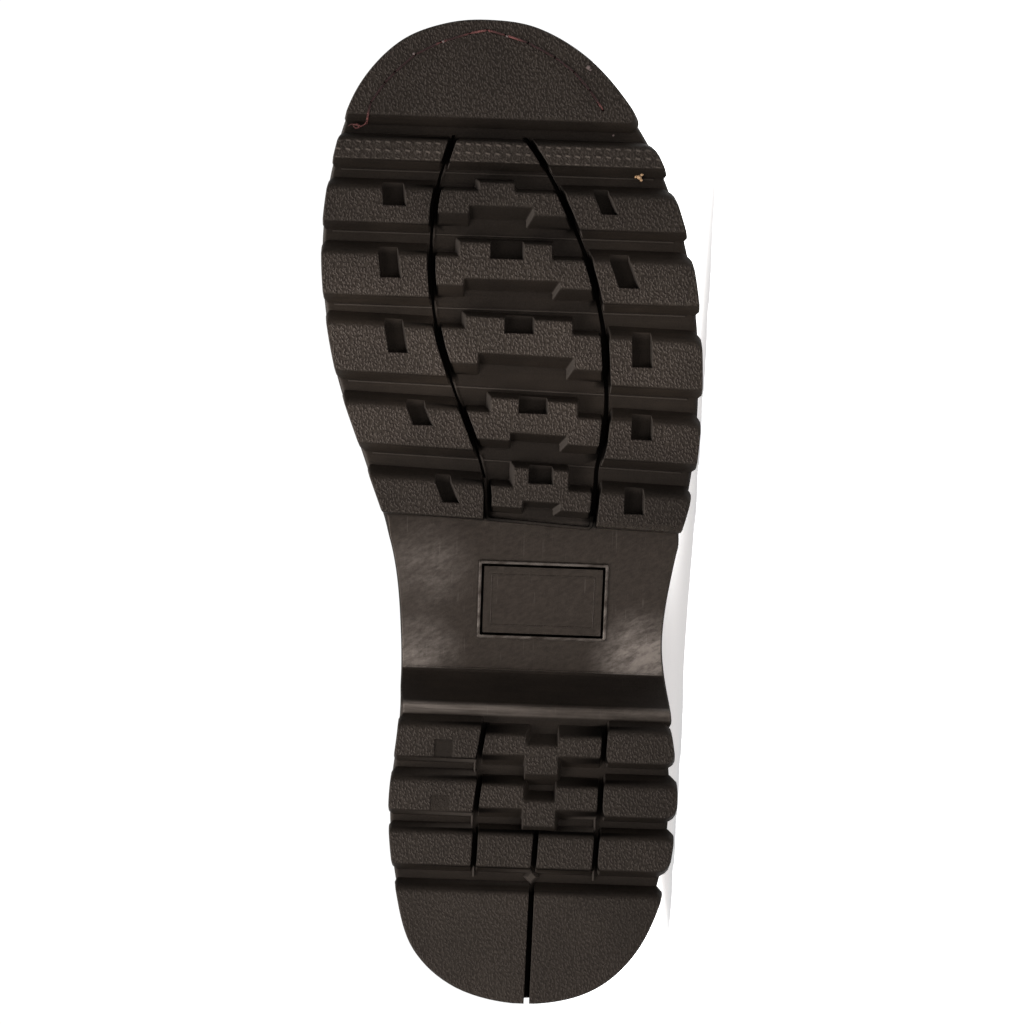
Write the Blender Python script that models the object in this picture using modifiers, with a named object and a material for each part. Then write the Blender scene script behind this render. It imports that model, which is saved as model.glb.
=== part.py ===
"""Pull-on work boot for the left foot, lying on its outer side.

The boot is drawn standing. x runs from the back of the heel to the toe, y to the outer side
and z up from the ground. The last step lays it down. Sizes and tables are in millimetres.
"""
import math
from collections import namedtuple

import bmesh
import bpy
import numpy as np
from mathutils import Matrix
from mathutils import Vector
from mathutils.bvhtree import BVHTree

for old in list(bpy.data.objects):
    bpy.data.objects.remove(old, do_unlink=True)

# Sizes of the whole boot
MM = 0.001
MERGE = 0.000001
MEDIAL = -1
LATERAL = 1
GAP = 0.3
SEAT_GAP = 0.9
OVERLAY_GAP = 0.4

# Sole: heights over the ground, insets from the outline of the lugs
LUG_DEPTH = 5.0
LUG_ROOT = 5.6
LUG_SHOULDER = 8.2
BLOCK_ROOT = 6.5
LUG_STATIONS = 4
TOE_SPRING = 12.0
SPRING_START = 205.0
SOLE_STATIONS = 40
STATION_CLEARANCE = 2.0
SAMPLES = 400
BAND_MEDIAL = 0.9
BAND_LATERAL = 2.3
BAND_CHAMFER = 1.2
BAND_STEP = 0.8
BAND_STEP_SHARE = 0.5
CHANNEL_HALF = 1.1
CHANNEL_DRAFT = 0.3
POCKET_DEPTH = 2.8
POCKET_REACH = 6.0
CUT_BELOW = 2.0
LABEL_RIM = 1.7
LABEL_HEIGHT = 0.9
LABEL_ROOT = 1.2

# Welt and insole
WELT_THICKNESS = 3.0
WELT_MEDIAL = 1.6
WELT_LATERAL = 3.0
WELT_INNER = 14.0
INSOLE_THICKNESS = 3.5
INSOLE_STATIONS = 30

# Upper
WALL = 2.4
FEATHER_MEDIAL = 7.5
FEATHER_LATERAL = 8.5
LEVEL_RING = 72.0
COLLAR_HEIGHT = 288.0
COLLAR_DIP = 12.0
COLLAR_DIP_POWER = 4
COLLAR_DIP_START = 205.0
COLLAR_BAND = 15.0
COLLAR_STEP = 0.9
CREST_TOP = 172.0
BLEND_LOW = 52.0
BLEND_HIGH = 126.0
HEEL_REACH = 0.35
OVAL_POWER = 2.3
COLUMNS = 56
OVERLAY = 1.3
OVERLAY_FOOT = 1.5

# Pull loops
LOOP_WIDTH = 26.0
LOOP_THICKNESS = 1.6
LOOP_LEG = 34.0
LOOP_RISE = 12.0
LOOP_RADIUS = 5.4
LOOP_COLUMNS = 4
LOOP_ARC_STEPS = 10
LOOP_OVERTURN = 0.8

# Sole outline at the edge of the lugs, once round from the heel
OutlinePoint = namedtuple("OutlinePoint", "place x y")
OUTLINE = [OutlinePoint(*row) for row in (
    ("heel back", 0.0, -1.5),
    ("heel back medial", 4.5, -23.0),
    ("heel corner medial", 16.0, -36.3),
    ("heel side medial", 36.0, -42.6),
    ("heel medial", 60.0, -45.3),
    ("breast medial", 86.0, -43.2),
    ("waist medial", 112.0, -43.4),
    ("arch medial", 138.0, -46.6),
    ("ball rear medial", 165.0, -56.2),
    ("ball behind medial", 195.0, -66.9),
    ("ball medial", 229.0, -72.0),
    ("toe root medial", 258.0, -69.8),
    ("toe side medial", 282.0, -62.6),
    ("toe corner medial", 297.0, -50.0),
    ("toe front medial", 303.2, -36.0),
    ("toe tip", 304.7, -22.5),
    ("toe front lateral", 302.6, -7.5),
    ("toe corner lateral", 292.0, 10.3),
    ("toe side lateral", 270.0, 27.8),
    ("ball front lateral", 246.0, 38.6),
    ("ball lateral", 222.0, 44.6),
    ("ball widest lateral", 190.0, 47.2),
    ("ball rear lateral", 160.0, 45.3),
    ("waist front lateral", 138.0, 40.2),
    ("waist lateral", 112.0, 37.4),
    ("breast lateral", 90.0, 40.6),
    ("heel lateral", 66.0, 43.8),
    ("heel side lateral", 36.0, 40.6),
    ("heel corner lateral", 16.0, 32.0),
    ("heel back lateral", 4.5, 19.0),
)]

# Underside between the lugs, and the top of the sole, before toe spring
Profile = namedtuple("Profile", "place x z")
UNDERSIDE = [Profile(*row) for row in (
    ("heel floor", 0.0, LUG_DEPTH),
    ("breast foot", 90.5, LUG_DEPTH),
    ("breast edge", 92.5, 5.9),
    ("breast top", 101.5, 16.0),
    ("waist rear", 104.5, 17.0),
    ("waist", 118.0, 13.6),
    ("waist middle", 132.0, 9.2),
    ("waist front", 146.0, 5.6),
    ("forefoot floor", 152.0, LUG_DEPTH),
    ("toe floor", 304.7, LUG_DEPTH),
)]
TOP = [Profile(*row) for row in (
    ("heel seat back", 0.0, 31.2),
    ("heel seat", 40.0, 30.3),
    ("breast", 80.0, 27.4),
    ("waist", 110.0, 22.4),
    ("waist front", 140.0, 16.6),
    ("ball rear", 165.0, 13.3),
    ("ball", 195.0, 12.0),
    ("toe", 304.7, 12.0),
)]

# Rows of lugs: toe and heel edge of the walking face, tilt, and the spread of the sloped sides
LugRow = namedtuple("LugRow", "name toe heel tilt toe_slope heel_slope")
FOREFOOT_ROWS = [LugRow(*row) for row in (
    ("row 1", 266.0, 259.3, 0.0, 1.9, 3.0),
    ("row 2", 250.5, 239.6, 0.0, 3.4, 2.7),
    ("row 3", 230.0, 217.0, 0.0, 4.2, 2.9),
    ("row 4", 206.8, 192.2, 1.2, 4.2, 2.9),
    ("row 5", 181.8, 169.7, 1.8, 4.2, 2.8),
    ("row 6", 159.3, 148.4, 2.0, 4.0, 0.5),
)]
HEEL_ROWS = [LugRow(*row) for row in (
    ("heel row 1", 85.2, 75.4, 0.0, 3.0, 2.2),
    ("heel row 2", 68.4, 58.8, 0.0, 3.6, 2.2),
    ("heel row 3", 52.4, 42.2, 0.0, 2.8, 2.6),
)]
TOE_BUMPER = LugRow("toe bumper", 304.7, 273.3, 0.0, 0.0, 3.2)
TOE_BUMPER_STATIONS = 10
HEEL_BACK = LugRow("heel back", 34.6, 0.0, 0.0, 3.0, 0.0)
HEEL_BACK_STATIONS = 8
HEEL_BACK_TIP = 1.0

# Centre lines of the long channels
Channel = namedtuple("Channel", "x medial lateral")
CHANNELS = [Channel(*row) for row in (
    (147.0, -17.9, 14.4),
    (155.6, -17.9, 15.2),
    (164.8, -19.7, 15.4),
    (174.0, -23.1, 17.2),
    (186.2, -28.2, 17.8),
    (195.4, -31.6, 17.3),
    (206.0, -35.0, 16.4),
    (218.8, -37.1, 13.8),
    (229.0, -37.9, 10.7),
    (243.6, -37.7, 4.5),
    (252.5, -36.4, 0.0),
    (260.5, -34.3, -4.8),
    (270.0, -31.5, -11.9),
)]
HEEL_SLIT_MEDIAL = -17.6
HEEL_SLIT_LATERAL = 20.3
HEEL_SLIT_CENTRE = 0.4

# Centre blocks: a tab towards the toe, shoulders, and two legs with a notch towards the heel
Block = namedtuple("Block", "row tab_toe shoulder_toe notch_heel leg_heel "
                   "tab_medial tab_lateral notch_medial notch_lateral toe_slope heel_slope")
FOREFOOT_BLOCKS = [Block(*row) for row in (
    (0, 266.0, 265.9, 259.5, 259.4, -24.0, -16.0, -24.0, -16.0, 1.9, 3.0),
    (1, 253.2, 250.4, 246.0, 243.4, -23.8, -13.0, -26.8, -6.7, 1.8, 5.2),
    (2, 234.4, 229.8, 223.3, 221.0, -29.2, -0.7, -27.6, 2.2, 2.0, 4.6),
    (3, 211.0, 207.0, 200.0, 196.5, -26.5, 6.3, -22.4, 7.3, 2.2, 4.6),
    (4, 186.1, 181.5, 175.8, 173.2, -17.9, 8.8, -11.7, 6.0, 2.4, 3.4),
    (5, 165.0, 158.9, 154.9, 152.6, -10.0, 6.7, -7.2, 4.6, 2.6, 2.4),
)]
HEEL_BLOCKS = [Block(*row) for row in (
    (0, 80.2, 83.4, 71.2, 75.9, -3.6, 6.5, -3.6, 6.5, 2.0, 3.0),
    (1, 62.7, 67.2, 55.1, 60.1, -3.8, 6.2, -3.8, 6.2, 2.0, 3.0),
)]

# Pockets cut into the toe edge of lugs
Pocket = namedtuple("Pocket", "toe heel medial lateral")
POCKETS = [Pocket(*row) for row in (
    (250.5, 245.0, -53.3, -46.5),
    (230.0, 222.6, -54.1, -47.6),
    (207.8, 199.5, -51.2, -44.4),
    (183.0, 177.4, -43.6, -36.8),
    (160.0, 153.9, -33.7, -27.5),
    (250.5, 244.2, 12.8, 18.3),
    (230.0, 221.8, 21.0, 26.9),
    (206.0, 197.5, 25.5, 31.7),
    (180.8, 175.2, 26.0, 32.1),
    (158.2, 152.2, 24.6, 30.2),
    (234.4, 229.5, -19.6, -10.0),
    (211.0, 206.7, -14.4, -6.0),
    (186.1, 182.1, -9.2, -1.0),
    (165.0, 160.6, -5.4, 1.5),
)]
LABEL = Pocket(136.0, 113.4, -19.2, 18.9)

# Side view of the upper: front and back of the shape at each height
FRONT = [Profile(*row) for row in (
    ("toe feather", 296.7, 25.0),
    ("toe wall", 296.2, 34.0),
    ("toe bulge", 294.4, 42.5),
    ("toe box corner", 289.0, 51.0),
    ("toe box", 280.0, 57.5),
    ("toe box top", 266.0, 63.0),
    ("vamp", 248.0, 67.6),
    ("vamp ball", 230.0, 72.4),
    ("ball", 214.0, 78.0),
    ("vamp rise", 199.0, 85.5),
    ("instep low", 185.5, 94.8),
    ("instep", 173.5, 106.0),
    ("instep high", 163.6, 119.5),
    ("bend", 156.0, 135.0),
    ("ankle front", 150.8, 153.0),
    ("shaft foot", 147.8, 174.0),
    ("shaft low", 146.4, 198.0),
    ("shaft", 146.2, 225.0),
    ("shaft high", 147.0, 255.0),
    ("collar", 148.4, 300.0),
)]
BACK = [Profile(*row) for row in (
    ("heel feather", 8.0, 34.0),
    ("heel swell", 5.2, 46.0),
    ("heel curve", 4.6, 58.0),
    ("counter", 5.6, 72.0),
    ("counter top", 8.6, 88.0),
    ("ankle", 12.4, 106.0),
    ("ankle high", 15.6, 126.0),
    ("shaft foot", 17.6, 150.0),
    ("shaft", 18.0, 180.0),
    ("shaft middle", 17.0, 215.0),
    ("shaft high", 15.2, 255.0),
    ("collar", 13.0, 300.0),
)]
# How high the arch of the foot sections reaches behind the instep
ARCH_BEHIND = [Profile(*row) for row in (
    ("shaft front", 130.0, 236.0),
    ("shaft centre", 90.0, 360.0),
    ("heel", 0.0, 640.0),
)]

# Shaft sections: half widths and the place of the widest point from back to front
Shaft = namedtuple("Shaft", "z medial lateral widest")
SHAFT = [Shaft(*row) for row in (
    (40.0, 37.0, 36.0, 0.42),
    (80.0, 35.0, 34.5, 0.40),
    (110.0, 36.5, 36.0, 0.42),
    (140.0, 40.0, 39.5, 0.45),
    (175.0, 44.0, 43.0, 0.48),
    (215.0, 46.6, 45.2, 0.50),
    (255.0, 47.8, 46.2, 0.50),
    (300.0, 48.6, 46.6, 0.50),
)]

# Foot sections: line of the crest from heel to toe and roundness of the section
Foot = namedtuple("Foot", "x crest fullness")
FOOT = [Foot(*row) for row in (
    (0.0, 0.0, 2.2),
    (100.0, -0.5, 2.0),
    (150.0, -3.0, 1.75),
    (180.0, -8.0, 1.8),
    (215.0, -14.5, 2.05),
    (250.0, -19.0, 2.35),
    (280.0, -22.0, 2.5),
    (304.7, -23.0, 2.5),
)]

# Heights of the rings that the upper is lofted through
RING_HEIGHTS = (15.6, 30.0, 42.0, 50.0, 56.0, 61.0, 65.5, 70.0, 75.5, 83.0, 92.0, 103.0, 117.0,
                135.0, 158.0, 190.0, 230.0)

# Upper edge of the overlays by angle round the boot, 0 at the front
Edge = namedtuple("Edge", "angle height")
VAMP_EDGE = [Edge(*row) for row in (
    (0.0, 121.0),
    (20.0, 116.0),
    (40.0, 101.0),
    (60.0, 86.0),
    (80.0, 75.0),
    (102.4, 66.0),
)]
COUNTER_EDGE = [Edge(*row) for row in (
    (0.0, 112.0),
    (20.0, 110.0),
    (40.0, 98.0),
    (55.0, 82.0),
    (76.7, 64.0),
)]
VAMP_COLUMNS = 16
COUNTER_COLUMNS = 12

boot = bpy.data.collections.new("Work boot")
cutters = bpy.data.collections.new("Cutters")
bpy.context.scene.collection.children.link(boot)
bpy.context.scene.collection.children.link(cutters)


# Curves and tables
def smooth_table(rows, across, up):
    """Return a smooth function that never swings past the rows of a table."""
    pairs = sorted((getattr(row, across), getattr(row, up)) for row in rows)
    xs = np.array([pair[0] for pair in pairs])
    ys = np.array([pair[1] for pair in pairs])
    step = np.diff(xs)
    rise = np.diff(ys) / step
    slope = np.zeros(len(xs))
    slope[0] = rise[0]
    slope[-1] = rise[-1]
    for i in range(1, len(xs) - 1):
        if rise[i - 1] * rise[i] > 0.0:
            slope[i] = 2.0 * rise[i - 1] * rise[i] / (rise[i - 1] + rise[i])

    def value(x):
        x = np.clip(np.asarray(x, dtype=float), xs[0], xs[-1])
        i = np.clip(np.searchsorted(xs, x) - 1, 0, len(xs) - 2)
        t = (x - xs[i]) / step[i]
        start = (1.0 + 2.0 * t) * (1.0 - t) ** 2 * ys[i] + t * (1.0 - t) ** 2 * step[i] * slope[i]
        end = t ** 2 * (3.0 - 2.0 * t) * ys[i + 1] + t ** 2 * (t - 1.0) * step[i] * slope[i + 1]
        return start + end

    return value


def straight_table(rows, across, up):
    """Return a function with straight lines between the rows of a table."""
    pairs = sorted((getattr(row, across), getattr(row, up)) for row in rows)
    xs = np.array([pair[0] for pair in pairs])
    ys = np.array([pair[1] for pair in pairs])
    return lambda x: np.interp(x, xs, ys)


def smooth_step(value, low, high):
    t = np.clip((np.asarray(value, dtype=float) - low) / (high - low), 0.0, 1.0)
    return t * t * (3.0 - 2.0 * t)


def closed_curve(points, per_span=24):
    """Run a smooth closed curve through plan points."""
    points = np.asarray(points, dtype=float)
    count = len(points)
    share = np.linspace(0.0, 1.0, per_span, endpoint=False)[:, None]
    spans = []
    for i in range(count):
        p = [points[(i + k - 1) % count] for k in range(4)]
        knots = [0.0]
        for k in range(3):
            knots.append(knots[-1] + math.sqrt(np.linalg.norm(p[k + 1] - p[k])))
        t = knots[1] + share * (knots[2] - knots[1])

        def between(a, b, low, high):
            return a * (knots[high] - t) / (knots[high] - knots[low]) + b * (t - knots[low]) / (
                knots[high] - knots[low])

        a1 = between(p[0], p[1], 0, 1)
        a2 = between(p[1], p[2], 1, 2)
        a3 = between(p[2], p[3], 2, 3)
        b1 = between(a1, a2, 0, 2)
        b2 = between(a2, a3, 1, 3)
        spans.append(between(b1, b2, 1, 2))
    return np.vstack(spans)


class Outline:
    """A closed plan outline with a medial and a lateral side between heel and toe."""

    def __init__(self, curve):
        curve = np.roll(curve, -int(np.argmin(curve[:, 0])), axis=0)
        toe = int(np.argmax(curve[:, 0]))
        lateral = np.vstack((curve[toe:], curve[:1]))[::-1]
        self.curve = curve
        self.halves = {MEDIAL: curve[:toe + 1], LATERAL: lateral}
        self.start = float(curve[0, 0])
        self.end = float(curve[toe, 0])

    def y(self, side, x):
        half = self.halves[side]
        return np.interp(x, np.maximum.accumulate(half[:, 0]), half[:, 1])

    def inset(self, medial, lateral):
        along = np.roll(self.curve, -1, axis=0) - np.roll(self.curve, 1, axis=0)
        normal = np.column_stack((along[:, 1], -along[:, 0]))
        normal = normal / np.linalg.norm(normal, axis=1)[:, None]
        share = 0.5 + 0.5 * normal[:, 1]
        distance = medial + (lateral - medial) * share
        return Outline(self.curve - normal * distance[:, None])

    def stations(self, count):
        turn = np.linspace(0.0, math.pi, count)
        return self.start + (self.end - self.start) * 0.5 * (1.0 - np.cos(turn))


lug_outline = Outline(closed_curve([(point.x, point.y) for point in OUTLINE]))
channel_medial = smooth_table(CHANNELS, "x", "medial")
channel_lateral = smooth_table(CHANNELS, "x", "lateral")
underside_flat = straight_table(UNDERSIDE, "x", "z")
top_flat = smooth_table(TOP, "x", "z")


def tread_lift(x):
    """Rise of the walking plane towards the toe."""
    share = np.clip((np.asarray(x, dtype=float) - SPRING_START) / (lug_outline.end - SPRING_START), 0.0, 1.1)
    return TOE_SPRING * share ** 2


def underside(x):
    return underside_flat(x) + tread_lift(x)


def sole_top(x):
    return top_flat(x) + tread_lift(x)


def feather_height(x):
    return sole_top(x) + WELT_THICKNESS + 2.0 * GAP


# Mesh builders
def face_of(bm, verts):
    unique = list(dict.fromkeys(verts))
    if len(unique) > 2:
        bm.faces.new(unique)


def close_up(bm):
    bmesh.ops.remove_doubles(bm, verts=bm.verts[:], dist=MERGE)
    bmesh.ops.dissolve_degenerate(bm, dist=MERGE, edges=bm.edges[:])
    bmesh.ops.recalc_face_normals(bm, faces=bm.faces[:])


def add_strip_solid(bm, levels):
    """Add a solid whose levels are pairs of point rows, medial and lateral, from heel to toe."""
    rows = []
    for pair in levels:
        rows.append([[bm.verts.new(Vector(p) * MM) for p in row] for row in pair])
    last = len(rows[0][0]) - 1
    for i in range(last):
        for level in (rows[0], rows[-1]):
            face_of(bm, (level[0][i], level[0][i + 1], level[1][i + 1], level[1][i]))
        for low, high in zip(rows[:-1], rows[1:]):
            for side in (0, 1):
                face_of(bm, (low[side][i], low[side][i + 1], high[side][i + 1], high[side][i]))
    for low, high in zip(rows[:-1], rows[1:]):
        for end in (0, last):
            face_of(bm, (low[0][end], low[1][end], high[1][end], high[0][end]))


def add_polygon_solid(bm, levels):
    """Add a solid lofted through polygons that have the same corners."""
    rows = [[bm.verts.new(Vector(p) * MM) for p in level] for level in levels]
    count = len(rows[0])
    face_of(bm, rows[0])
    face_of(bm, rows[-1])
    for low, high in zip(rows[:-1], rows[1:]):
        for i in range(count):
            k = (i + 1) % count
            face_of(bm, (low[i], low[k], high[k], high[i]))


def add_ring_solid(bm, outer, inner):
    """Add a ring from two levels of an outer and an inner loop."""
    loops = [[bm.verts.new(Vector(p) * MM) for p in loop] for loop in (outer[0], outer[1], inner[1], inner[0])]
    count = len(loops[0])
    for a in range(4):
        b = (a + 1) % 4
        for i in range(count):
            k = (i + 1) % count
            face_of(bm, (loops[a][i], loops[a][k], loops[b][k], loops[b][i]))


def add_object(name, bm, collection):
    close_up(bm)
    mesh = bpy.data.meshes.new(name)
    bm.to_mesh(mesh)
    bm.free()
    item = bpy.data.objects.new(name, mesh)
    collection.objects.link(item)
    if collection is cutters:
        item.hide_render = True
        item.display_type = "WIRE"
    return item


def settle_modifiers(item):
    """Replace the mesh of an object with the result of its modifiers."""
    graph = bpy.context.evaluated_depsgraph_get()
    shaped = bpy.data.meshes.new_from_object(item.evaluated_get(graph))
    item.modifiers.clear()
    item.data = shaped


def combine(item, cutter, operation):
    tool = item.modifiers.new(operation.title(), "BOOLEAN")
    tool.operation = operation
    tool.solver = "EXACT"
    tool.use_self = True
    tool.object = cutter
    settle_modifiers(item)


def give_material(item, name, colour, roughness):
    material = bpy.data.materials.new(name)
    material.use_nodes = True
    shader = material.node_tree.nodes["Principled BSDF"]
    shader.inputs["Base Color"].default_value = (*colour, 1.0)
    shader.inputs["Roughness"].default_value = roughness
    item.data.materials.clear()
    item.data.materials.append(material)


def shade(item, degrees):
    item.data.polygons.foreach_set("use_smooth", [True] * len(item.data.polygons))
    item.data.set_sharp_from_angle(angle=math.radians(degrees))


# Outsole
def across(x_line, tilt, boundary):
    """Point where a row edge, tilted in plan, meets a boundary y(x)."""
    x = x_line
    for _ in range(6):
        x = x_line - math.tan(math.radians(tilt)) * float(boundary(x))
    return x, float(boundary(x))


def edge_row(x_lines, tilt, boundary, height):
    points = []
    for x_line in x_lines:
        x, y = across(x_line, tilt, boundary)
        points.append((x, y, height + float(tread_lift(x))))
    return points


def lug_levels(row, medial, lateral, stations):
    """Three levels of a lug: walking face, root at the floor, and shoulder inside the sole."""
    levels = []
    spread = (0.0, 1.0, 1.0)
    heights = (0.0, LUG_ROOT, LUG_SHOULDER)
    for level in range(3):
        heel = row.heel - row.heel_slope * spread[level]
        toe = row.toe + row.toe_slope * spread[level]
        x_lines = heel + (toe - heel) * stations
        levels.append((edge_row(x_lines, row.tilt, medial[level], heights[level]),
                       edge_row(x_lines, row.tilt, lateral[level], heights[level])))
    return levels


def outer_bounds(side):
    inside = lug_outline.inset(BAND_MEDIAL + BAND_CHAMFER, BAND_LATERAL + BAND_CHAMFER)
    return [lambda x, o=o: o.y(side, x) for o in (lug_outline, lug_outline, inside)]


def inner_bounds(line, side):
    halves = (CHANNEL_HALF, CHANNEL_HALF - CHANNEL_DRAFT, CHANNEL_HALF - CHANNEL_DRAFT)
    return [lambda x, h=h: line(x) + side * h for h in halves]


def flat_line(y):
    return lambda x: y


def block_points(block, tilt, medial, lateral, grow, side_grow, height):
    """Plan of a centre block with its toe and heel edges grown by the slopes."""
    toe = block.toe_slope * grow
    heel = block.heel_slope * grow
    tab_grow = side_grow if block.tab_toe >= block.shoulder_toe else -side_grow
    notch_grow = side_grow if block.notch_heel >= block.leg_heel else -side_grow
    tab_medial = block.tab_medial - tab_grow
    tab_lateral = block.tab_lateral + tab_grow
    notch_medial = block.notch_medial + notch_grow
    notch_lateral = block.notch_lateral - notch_grow
    corners = (
        (block.leg_heel - heel, medial),
        (block.shoulder_toe + toe, medial),
        (block.shoulder_toe + toe, flat_line(tab_medial)),
        (block.tab_toe + toe, flat_line(tab_medial)),
        (block.tab_toe + toe, flat_line(tab_lateral)),
        (block.shoulder_toe + toe, flat_line(tab_lateral)),
        (block.shoulder_toe + toe, lateral),
        (block.leg_heel - heel, lateral),
        (block.leg_heel - heel, flat_line(notch_lateral)),
        (block.notch_heel - heel, flat_line(notch_lateral)),
        (block.notch_heel - heel, flat_line(notch_medial)),
        (block.leg_heel - heel, flat_line(notch_medial)),
    )
    points = []
    for x_line, boundary in corners:
        x, y = across(x_line, tilt, boundary)
        points.append((x, y, height + float(tread_lift(x))))
    return points


def add_block(bm, block, tilt, medial_line, lateral_line):
    """Add a centre block between two channels."""
    levels = []
    for height, grow, half in ((0.0, 0.0, CHANNEL_HALF),
                               (BLOCK_ROOT, 1.0, CHANNEL_HALF - CHANNEL_DRAFT)):
        medial = lambda x, h=half: medial_line(x) + h
        lateral = lambda x, h=half: lateral_line(x) - h
        levels.append(block_points(block, tilt, medial, lateral, grow, CHANNEL_DRAFT * grow, height))
    add_polygon_solid(bm, levels)


def add_lugs(bm):
    even = np.linspace(0.0, 1.0, LUG_STATIONS)
    for row in FOREFOOT_ROWS:
        add_strip_solid(bm, lug_levels(row, outer_bounds(MEDIAL), inner_bounds(channel_medial, -1.0), even))
        add_strip_solid(bm, lug_levels(row, inner_bounds(channel_lateral, 1.0), outer_bounds(LATERAL), even))
    for row in HEEL_ROWS:
        medial_slit = inner_bounds(flat_line(HEEL_SLIT_MEDIAL), -1.0)
        lateral_slit = inner_bounds(flat_line(HEEL_SLIT_LATERAL), 1.0)
        add_strip_solid(bm, lug_levels(row, outer_bounds(MEDIAL), medial_slit, even))
        add_strip_solid(bm, lug_levels(row, lateral_slit, outer_bounds(LATERAL), even))
    for block in FOREFOOT_BLOCKS:
        add_block(bm, block, FOREFOOT_ROWS[block.row].tilt, channel_medial, channel_lateral)
    for block in HEEL_BLOCKS:
        add_block(bm, block, 0.0, flat_line(HEEL_SLIT_MEDIAL), flat_line(HEEL_SLIT_LATERAL))
    last = HEEL_ROWS[-1]
    slits = (HEEL_SLIT_MEDIAL, HEEL_SLIT_CENTRE, HEEL_SLIT_LATERAL)
    for near, far in zip(slits[:-1], slits[1:]):
        add_strip_solid(bm, lug_levels(last, inner_bounds(flat_line(near), 1.0),
                                       inner_bounds(flat_line(far), -1.0), even))
    add_heel_back(bm, MEDIAL)
    add_heel_back(bm, LATERAL)
    add_toe_bumper(bm)


def end_levels():
    """Outline, spread of the slope and height at the three levels of an end lug."""
    inside = lug_outline.inset(BAND_MEDIAL + BAND_CHAMFER, BAND_LATERAL + BAND_CHAMFER)
    return ((lug_outline, 0.0, 0.0), (lug_outline, 1.0, LUG_ROOT), (inside, 1.0, LUG_SHOULDER))


def add_heel_back(bm, side):
    """Add one half of the crescent at the back of the heel."""
    share = 1.0 - np.cos(np.linspace(0.0, 0.5 * math.pi, HEEL_BACK_STATIONS))
    slit = HEEL_SLIT_CENTRE + side * CHANNEL_HALF
    levels = []
    for outline, grow, height in end_levels():
        near = outline.start + np.linspace(0.0, HEEL_BACK.toe, SAMPLES)
        clear = near[(outline.y(side, near) - slit) * side > HEEL_BACK_TIP]
        toe = HEEL_BACK.toe + HEEL_BACK.toe_slope * grow
        x = clear[0] + (toe - clear[0]) * share
        z = height + tread_lift(x)
        edge = np.column_stack((x, outline.y(side, x), z))
        middle = np.column_stack((x, np.full(len(x), slit), z))
        levels.append((edge, middle) if side == MEDIAL else (middle, edge))
    add_strip_solid(bm, levels)


def add_toe_bumper(bm):
    """Add the full-width lug at the toe, rounded with the outline."""
    share = np.sin(np.linspace(0.0, 0.5 * math.pi, TOE_BUMPER_STATIONS))
    levels = []
    for outline, grow, height in end_levels():
        heel = TOE_BUMPER.heel - TOE_BUMPER.heel_slope * grow
        x = heel + (outline.end - heel) * share
        z = height + tread_lift(x)
        levels.append((np.column_stack((x, outline.y(MEDIAL, x), z)),
                       np.column_stack((x, outline.y(LATERAL, x), z))))
    add_strip_solid(bm, levels)


def add_label_frame(bm):
    """Add the plain raised frame on the waist."""
    loops = []
    for rim in (0.0, LABEL_RIM):
        toe = LABEL.toe - rim
        heel = LABEL.heel + rim
        middle = 0.5 * (toe + heel)
        loop = [(x, LABEL.medial + rim) for x in (heel, middle, toe)]
        loop += [(x, LABEL.lateral - rim) for x in (toe, middle, heel)]
        loops.append(loop)
    outer, inner = [[[(x, y, float(underside(x)) + rise) for x, y in loop]
                     for rise in (-LABEL_HEIGHT, LABEL_ROOT)] for loop in loops]
    add_ring_solid(bm, outer, inner)


def add_pockets(bm):
    for pocket in POCKETS:
        x = np.array((pocket.heel, pocket.toe, pocket.toe + POCKET_REACH))
        levels = []
        for height in (-CUT_BELOW, POCKET_DEPTH):
            z = height + tread_lift(x)
            levels.append((np.column_stack((x, np.full(3, pocket.medial), z)),
                           np.column_stack((x, np.full(3, pocket.lateral), z))))
        add_strip_solid(bm, levels)


def outline_rows(outline, stations, height):
    return (np.column_stack((stations, outline.y(MEDIAL, stations), height)),
            np.column_stack((stations, outline.y(LATERAL, stations), height)))


def sole_stations(outline):
    """Stations that follow the round ends and keep every edge of the underside."""
    even = lug_outline.stations(SOLE_STATIONS)
    breaks = np.array([row.x for row in UNDERSIDE[1:-1]])
    clear = [x for x in even if np.min(np.abs(breaks - x)) > STATION_CLEARANCE]
    chosen = np.sort(np.concatenate((clear, breaks)))
    share = (chosen - lug_outline.start) / (lug_outline.end - lug_outline.start)
    return outline.start + (outline.end - outline.start) * share


def make_outsole():
    band = lug_outline.inset(BAND_MEDIAL, BAND_LATERAL)
    foot = lug_outline.inset(BAND_MEDIAL + BAND_CHAMFER, BAND_LATERAL + BAND_CHAMFER)
    step = lug_outline.inset(BAND_MEDIAL - BAND_STEP, BAND_LATERAL - BAND_STEP)
    levels = []
    for outline, rise, share in ((foot, 0.0, 0.0), (band, BAND_CHAMFER, 0.0), (band, 0.0, BAND_STEP_SHARE),
                                 (step, BAND_STEP, BAND_STEP_SHARE), (step, -BAND_STEP, 1.0), (band, 0.0, 1.0)):
        x = sole_stations(outline)
        z = underside(x) * (1.0 - share) + sole_top(x) * share + rise
        levels.append(outline_rows(outline, x, z))
    bm = bmesh.new()
    add_strip_solid(bm, levels)
    outsole = add_object("outsole", bm, boot)
    bm = bmesh.new()
    add_lugs(bm)
    lugs = add_object("lug shapes", bm, cutters)
    bm = bmesh.new()
    add_label_frame(bm)
    frame = add_object("label frame shape", bm, cutters)
    bm = bmesh.new()
    add_pockets(bm)
    pockets = add_object("pocket shapes", bm, cutters)
    combine(outsole, lugs, "UNION")
    combine(outsole, frame, "UNION")
    combine(outsole, pockets, "DIFFERENCE")
    return outsole


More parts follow.
